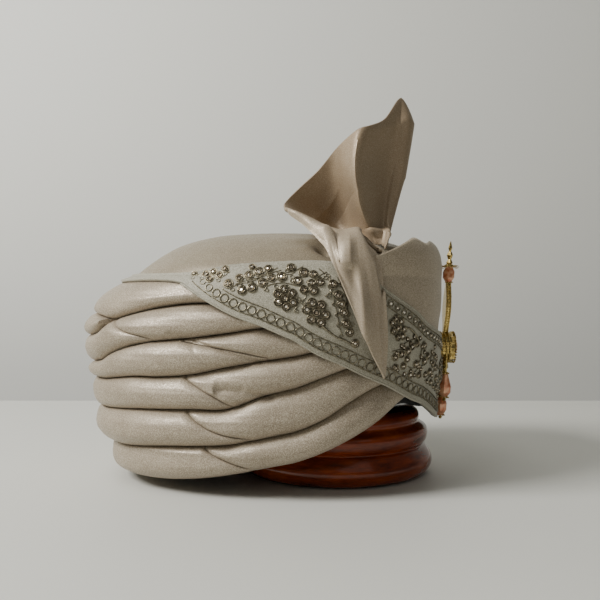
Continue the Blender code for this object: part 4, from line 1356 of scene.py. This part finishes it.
# %% Columns of the plume
NECK_RADIUS = 0.009
PLUME_REACH = 0.065
PLUME_RISE = 0.100
PLUME_DEPTH = 0.020
SHOULDER_RISE = 0.012
TAIL_DROP = 0.075
TAIL_SEAT = 0.001
LIP_PUFF = 0.15
LEAF_ROWS = (0.0, 0.08, 0.20, 0.36, 0.54, 0.72, 0.88, 1.0)
THROAT_ROW = 0.55
SHOULDER_ROW = 0.45
LIP_ROWS = (0.15, 0.36, 0.58, 0.80, 1.0)
TAIL_ROWS = (0.34, 0.67, 1.0)
PLUME_LEAF = (
    # neck angle, edge reach, rise, depth, then the column's bow in reach, rise, depth
    (-20, 0.400, 0.893, 0.75, 0.010, 0.00, 0.20),
    (5, 0.270, 1.020, 0.95, 0.000, 0.00, 0.60),
    (30, 0.090, 0.865, 0.60, -0.040, 0.00, 0.50),
    (50, -0.150, 0.785, 0.00, -0.150, 0.00, -0.20),
    (72, -0.400, 0.675, 0.75, -0.080, 0.00, 0.40),
    (95, -0.590, 0.545, 1.05, -0.020, -0.02, 0.75),
    (120, -0.780, 0.430, 1.05, 0.000, -0.04, 0.85),
    (148, -0.915, 0.330, 0.70, 0.000, -0.05, 0.60),
    (174, -0.950, 0.265, 0.05, 0.000, -0.03, 0.10),
)
PLUME_LIP = (
    # neck angle, lip reach, rise, depth, edge reach, rise, depth
    (196, -0.880, 0.235, -0.50, -0.880, 0.200, -0.66),
    (212, -0.740, 0.215, -0.75, -0.717, 0.105, -1.05),
    (227, -0.575, 0.172, -0.80, -0.594, 0.015, -1.40),
    (240, -0.450, 0.148, -0.80, -0.508, -0.060, -1.70),
)
PLUME_TAIL = (
    # neck angle, lip reach, rise, depth, shoulder turn, edge turn, edge drop
    (252, -0.360, 0.133, -0.80, 76.5, 76.5, 0.22),
    (262, -0.275, 0.127, -0.80, 73.0, 72.0, 0.52),
    (271, -0.205, 0.115, -0.80, 70.0, 67.0, 0.80),
    (280, -0.155, 0.090, -0.75, 67.0, 62.5, 0.97),
    (290, -0.110, 0.040, -0.65, 64.5, 60.5, 1.00),
    (302, -0.070, -0.010, -0.50, 62.5, 59.5, 0.70),
)


def neck_point(angle):
    x = NECK.x + NECK_RADIUS * math.cos(math.radians(angle))
    y = NECK.y + NECK_RADIUS * math.sin(math.radians(angle))
    return Vector((x, y, surface_height(x, y) + SEAT))


def plume_step(reach, rise, depth):
    return Vector((reach * PLUME_REACH, depth * PLUME_DEPTH, rise * PLUME_RISE))


def tail_point(turn, height):
    out = BAND_SEAT + CLOTH + GAP + CLOTH + TAIL_SEAT
    front, back, side = (reach + out for reach in body_reach(min(height, WRAP_TOP)))
    return plan_point(turn, front, back, side, height)


def leaf_column(angle, reach, rise, depth, *bow):
    """A column that stands up from the neck to the free edge."""
    start = neck_point(angle)
    edge = NECK + plume_step(reach, rise, depth)
    side = plume_step(*bow)
    return [start.lerp(edge, share) + side * math.sin(math.pi * share)
            for share in LEAF_ROWS]


def lip_column(angle, *places):
    """A column that goes up to the lip and turns over it to its edge."""
    start = neck_point(angle)
    lip = NECK + plume_step(*places[:3])
    edge = NECK + plume_step(*places[3:])
    puff = Vector((0.0, -LIP_PUFF, LIP_PUFF / 2)) * (edge - lip).length
    return [start, start.lerp(lip, THROAT_ROW), lip] + [
        lip.lerp(edge, share) + puff * math.sin(math.pi * share) for share in LIP_ROWS]


def tail_column(angle, reach, rise, depth, shoulder_turn, edge_turn, drop):
    """A column that turns over the lip and lies down on the band."""
    start = neck_point(angle)
    lip = NECK + plume_step(reach, rise, depth)
    shoulder_height = WRAP_TOP + SHOULDER_RISE
    shoulder = tail_point(shoulder_turn, shoulder_height)
    puff = Vector((0.0, -LIP_PUFF, LIP_PUFF / 2)) * (shoulder - lip).length
    column = [start, start.lerp(lip, THROAT_ROW), lip, lip.lerp(shoulder, SHOULDER_ROW) + puff,
              shoulder]
    for share in TAIL_ROWS:
        turn = shoulder_turn + (edge_turn - shoulder_turn) * share
        column.append(tail_point(turn, shoulder_height - TAIL_DROP * drop * share))
    return column


COLUMNS = [leaf_column(*row) for row in PLUME_LEAF]
COLUMNS += [lip_column(*row) for row in PLUME_LIP]
COLUMNS += [tail_column(*row) for row in PLUME_TAIL]


# %% Crisp folds of the plume
PLUME_FOLDS = (
    # place across and half width in columns, from and to along the column, depth, reach,
    # rise, and whether the fold is sharp at its middle
    (3.0, 1.30, 0.10, 1.05, -0.0058, -0.0010, 0.0000, True),
    (0.0, 1.05, 0.10, 1.50, 0.0155, 0.0000, 0.0000, True),
    (0.0, 2.60, -0.20, 0.60, 0.0000, -0.0030, 0.0000, False),
    (0.0, 3.20, 0.05, 1.60, 0.0000, 0.0046, 0.0000, False),
    (5.0, 5.00, -0.25, 0.50, 0.0000, -0.0040, 0.0000, False),
    (7.4, 4.40, 0.02, 0.66, 0.0080, 0.0000, 0.0000, False),
    (12.2, 4.00, 0.04, 0.62, 0.0000, 0.0000, -0.0052, False),
    (18.0, 3.20, 0.05, 0.60, 0.0000, -0.0040, 0.0000, False),
    (14.8, 2.20, 0.55, 1.45, 0.0000, 0.0020, 0.0000, False),
    (14.5, 0.80, 0.62, 1.02, -0.0026, 0.0000, 0.0000, True),
    (13.8, 0.90, 0.36, 0.66, -0.0024, 0.0000, 0.0000, True),
    (11.4, 0.90, 0.30, 0.90, -0.0014, 0.0000, 0.0000, True),
)
KNOT_START = 0.35
KNOT_END = 0.74
KNOT_FROM = 15.3
KNOT_TO = 17.2
KNOT_STEP = 0.0055
COLLAR_GATHERS = 15
COLLAR_DEPTH = 0.0008
COLLAR_END = 0.26
COLLAR_LEDGE = 0.185
LEDGE_DEPTH = 0.035
COLLAR_COLUMNS = 3.6
COLLAR_FRONT = 0.0105
TIP_DEPTH = 0.165
TIP_MIDDLE = 1.0
TIP_END = 2.7
TIP_LEAN = 0.085
TIP_RISE = 0.035
TIP_TWIST = 0.05
TWIST_COLUMNS = (0.2, 2.0)
COLLAR_START = 0.05
COLLAR_SLANT = 3.0
SHARP_POWER = 1.4
FOLD_SWELL = 0.7
KNOT_WIDTH = 0.14
PLUME_DENTS = 0.0006
PLUME_WALL = CLOTH * 0.6
# Painted shade on the plume: the columns of the leaf that it darkens, and its share on the collar
PAINTED_SHADE_COLUMNS = 8.8
COLLAR_SHADE = 0.75


def fold_shift(place, v):
    """How far the folds move a point of the plume."""
    shift = Vector((0.0, 0.0, 0.0))
    for centre, half, start, end, depth, reach, rise, sharp in PLUME_FOLDS:
        away = abs(place - centre) / half
        along = (v - start) / (end - start)
        if away < 1.0 and 0.0 < along < 1.0:
            across = (1.0 - away) ** SHARP_POWER if sharp else (1.0 - away ** 2) ** 2
            swell = math.sin(math.pi * along) ** FOLD_SWELL
            shift += Vector((reach, depth, rise)) * across * swell
    return shift


def knot_shift(place, v):
    """The tail's right part comes out from under its left part, below the knot."""
    along = (v - KNOT_START) / (KNOT_END - KNOT_START)
    if not 0.0 < along < 1.0:
        return 0.0
    edge = KNOT_FROM + (KNOT_TO - KNOT_FROM) * along
    step = smooth_step(place, edge, edge + KNOT_WIDTH)
    return KNOT_STEP * step * math.sin(math.pi * along) ** 0.5


def collar_shift(place, v):
    """The collar at the foot of the leaf stands out in front and ends in a small ledge."""
    if place > COLLAR_COLUMNS:
        return 0.0
    ledge = 1.0 - smooth_step(v, COLLAR_LEDGE, COLLAR_LEDGE + LEDGE_DEPTH)
    return -COLLAR_FRONT * ledge * (1.0 - place / COLLAR_COLUMNS) ** 0.3


def painted_shade_share(u, v):
    """Share of painted shade: 1 on the leaf above its collar, and COLLAR_SHADE on the collar."""
    place = u * (len(COLUMNS) - 1)
    if place >= PAINTED_SHADE_COLUMNS:
        return 0.0
    return 1.0 if v > COLLAR_LEDGE else COLLAR_SHADE


def plume_place(u, v):
    """A point of the plume, with its folds, its turned tip and the gathers of its collar."""
    place = u * (len(COLUMNS) - 1)
    column = [spline([points[k] for points in COLUMNS], u) for k in range(len(COLUMNS[0]))]
    point = spline(column, v) + fold_shift(place, v)
    point.y += knot_shift(place, v) + collar_shift(place, v)
    if place < TIP_END:
        flap = TIP_DEPTH * min(place / TIP_MIDDLE, (TIP_END - place) / (TIP_END - TIP_MIDDLE))
        over = max(v - (1.0 - flap), 0.0)
        lean = TIP_LEAN - TIP_TWIST * smooth_step(place, *TWIST_COLUMNS)
        point += Vector((0.0, lean, TIP_RISE)) * over
    gathered = max(1.0 - v / COLLAR_END, 0.0) * min(v / COLLAR_START, 1.0)
    away = Vector((point.x - NECK.x, point.y - NECK.y, 0.0))
    if gathered and away.length > 1e-6:
        wave = math.cos(math.tau * COLLAR_GATHERS * u + COLLAR_SLANT * v)
        point += away.normalized() * COLLAR_DEPTH * wave * gathered
    dents = noise.noise(Vector((place * 0.9, v * 5.0, 2.0)))
    point += Vector((0.0, PLUME_DENTS, 0.0)) * dents
    return point


# %% Lay the plume
# The plume's points carry their share of painted shade for its satin
plume = laid_grid("cloth_plume", 234, 100, plume_place, painted_shade_of=painted_shade_share)
thicken(plume, PLUME_WALL, even=False)
dress(plume, plume_satin_painted_light_and_shade, "satin", "plume")

# %% [markdown]
# ## The turned stand
#
# The stand was turned on a lathe from one blank, so it is spun here from half of its
# outline. Its lacquer catches long highlights on each ring.

# %% Stand base
STAND_PROFILE = (
    # radius and height as shares of STAND_RADIUS and STAND_TOP
    (0.880, 0.000), (0.955, 0.050), (1.000, 0.160), (0.995, 0.280), (0.945, 0.410),
    (0.915, 0.455), (0.945, 0.520), (0.960, 0.620), (0.945, 0.710), (0.870, 0.790),
    (0.876, 0.870), (0.855, 0.950), (0.800, 1.000),
)
PROFILE_STEPS = 90
SPIN_STEPS = 128
WOOD_ANGLE = math.radians(35)


def stand_point(share):
    points = [Vector((radius * STAND_RADIUS, 0.0, height * STAND_TOP))
              for radius, height in STAND_PROFILE]
    return spline(points, share)


bpy.ops.object.select_all(action="DESELECT")
bpy.ops.mesh.primitive_grid_add(x_subdivisions=PROFILE_STEPS, y_subdivisions=1, size=2.0)
stand = bpy.context.active_object
stand.name = "turned_stand"
bpy.ops.object.mode_set(mode="EDIT")
bpy.ops.mesh.select_all(action="DESELECT")
bpy.ops.object.mode_set(mode="OBJECT")
for point in stand.data.vertices:
    point.select = point.co.y > 0
    point.co = stand_point((point.co.x + 1.0) / 2.0) if point.co.y < 0 else point.co
bpy.ops.object.mode_set(mode="EDIT")
bpy.ops.mesh.delete(type="VERT")
bpy.ops.mesh.select_all(action="SELECT")
bpy.ops.mesh.spin(steps=SPIN_STEPS, angle=math.tau, center=(0, 0, 0), axis=(0, 0, 1))
merge_and_face_out(close_ends=True)
bpy.ops.object.shade_smooth_by_angle(angle=WOOD_ANGLE)
dress(stand, lacquer, "stand_wood", "stand_base")

# %% [markdown]
# ## Granules and rings of the brooch
#
# The CAD brooch keeps its large forms. Rows of gold granules run along the leaf's edges and
# round the drum and the petals, and the beads and drops get gold caps with small loops.

# %% Measures of the brooch, from its CAD boxes
bead_low, bead_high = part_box("brooch_top_bead")
stone_low, stone_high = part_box("brooch_stone")
WIRE_X = (bead_low[0] + bead_high[0]) / 2
BEAD_Z = (bead_low[2] + bead_high[2]) / 2
STONE_X = stone_low[0]
STONE_Z = (stone_low[2] + stone_high[2]) / 2
GRANULE = 0.00085
DRUM_GRANULE = GRANULE * 0.95
PETAL_GRANULE = GRANULE * 0.9
DRUM_RADIUS = 0.0115
DRUM_BACK = -0.0113
DRUM_ROWS = (0.0012, 0.0040, 0.0066)
DRUM_GRANULES = 40
PETAL_RADIUS = 0.01152
PETAL_GRANULES = 32
LEAF_FOOT = 0.9
LEAF_GRANULES = 22
LEAF_ROWS = (-0.0011, 0.0011)
LEAF_OUTLINE = ((0.0, 0.22), (0.15, 0.34), (0.35, 0.80), (0.52, 1.0), (0.72, 0.84), (1.0, 0.14))
LEAF_WIDTH = 0.015
LEAF_LEAN = 0.06
print("brooch stone", [round(v, 4) for v in (*stone_low, *stone_high)])

bpy.ops.mesh.primitive_ico_sphere_add(subdivisions=2, radius=1.0)
granule_pattern = template("granule_pattern")


def leaf_half(rise):
    """Half width of the leaf at a share of its height, straight between its outline's rows."""
    for (low_rise, low_half), (high_rise, high_half) in zip(LEAF_OUTLINE, LEAF_OUTLINE[1:]):
        if rise <= high_rise:
            share = (rise - low_rise) / (high_rise - low_rise)
            return (low_half + (high_half - low_half) * share) * LEAF_WIDTH / 2
    return 0.0


def granule_row(centre, radius, count, upright):
    """Places round a circle, which stands across the head or lies level."""
    for k in range(count):
        angle = math.tau * (k + 0.5) / count
        side, other = radius * math.cos(angle), radius * math.sin(angle)
        yield centre + (Vector((0.0, side, other)) if upright else Vector((side, other, 0.0)))


def brooch_granules():
    """Place and size of each granule on the leaf's edges, the drum and the petals."""
    leaf_foot = STONE_Z + DRUM_RADIUS * LEAF_FOOT
    for k in range(LEAF_GRANULES):
        rise = (k + 0.5) / LEAF_GRANULES
        height = leaf_foot + (bead_low[2] - leaf_foot) * rise
        lean = LEAF_LEAN * (height - BEAD_Z)
        for side in (-1, 1):
            for row in LEAF_ROWS:
                yield Vector((WIRE_X + row + lean, side * leaf_half(rise), height)), GRANULE
    for row in DRUM_ROWS:
        centre = Vector((STONE_X + DRUM_BACK + row, 0.0, STONE_Z))
        for place in granule_row(centre, DRUM_RADIUS, DRUM_GRANULES, True):
            yield place, DRUM_GRANULE
    centre = Vector((STONE_X, 0.0, STONE_Z))
    for place in granule_row(centre, PETAL_RADIUS, PETAL_GRANULES, True):
        yield place, PETAL_GRANULE


dress_copies("brooch_granules", granule_pattern,
             [(Matrix.Translation(place), (size,) * 3) for place, size in brooch_granules()],
             gold, "gold")

# %% Caps and loops of the beads and drops
CAPPED = ("brooch_top_bead", "brooch_drop_centre", "brooch_drop_left", "brooch_drop_right",
          "brooch_tip_bead")
CAP_ENDS = (0.42, 0.50)
CAP_RISE = 0.0040
CAP_LOOPS = 8
CAP_GRANULE = GRANULE * 0.7
CAP_AWAY = 0.12
ROSETTE_DROP = 0.0012
ROSETTE_RADIUS = 0.0052
ROSETTE_LOOPS = 10
ROSETTE_REACH = 0.0062
ROSETTE_LOOP = (0.0011, 0.0018)  # radius and thickness


def cap_parts():
    """Rings and granules at both ends of every bead and drop, and loops at the rosette."""
    circles, dots = [], []
    for name in CAPPED:
        corner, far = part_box(name)
        middle = Vector(((corner[0] + far[0]) / 2, (corner[1] + far[1]) / 2, 0.0))
        reach = (far[0] - corner[0]) / 2
        for height, share in zip((corner[2], far[2]), CAP_ENDS):
            centre = middle + Vector((0.0, 0.0, height))
            circles.append((Matrix.Translation(centre), round_scale(reach * share, CAP_RISE)))
            dots += [(Matrix.Translation(place), (CAP_GRANULE,) * 3)
                     for place in granule_row(centre, reach * (share + CAP_AWAY), CAP_LOOPS, False)]
    rosette = Vector((WIRE_X, 0.0, bead_high[2] - ROSETTE_DROP))
    circles.append((Matrix.Translation(rosette), round_scale(ROSETTE_RADIUS, CAP_RISE)))
    for place in granule_row(rosette, ROSETTE_REACH, ROSETTE_LOOPS, False):
        turned = Matrix.Translation(place) @ Matrix.Rotation(math.pi / 2, 4, "X")
        circles.append((turned, round_scale(*ROSETTE_LOOP)))
    return circles, dots


cap_rings, cap_dots = cap_parts()
dress_copies("brooch_caps", ring_pattern, cap_rings, gold, "gold")
dress_copies("brooch_cap_granules", granule_pattern, cap_dots, gold, "gold")

# %% Finishes of the pieces that stay as they are
KEPT = {"stand_post": lacquer, "brooch_frame": gold, "brooch_stone": pink_glass}
KEPT.update(dict.fromkeys(CAPPED, pink_glass))
for name, finish in KEPT.items():
    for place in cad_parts[name].material_slots:
        place.material = finish
print("kept pieces", len(KEPT))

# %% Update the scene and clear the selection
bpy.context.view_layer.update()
bpy.ops.object.select_all(action="DESELECT")
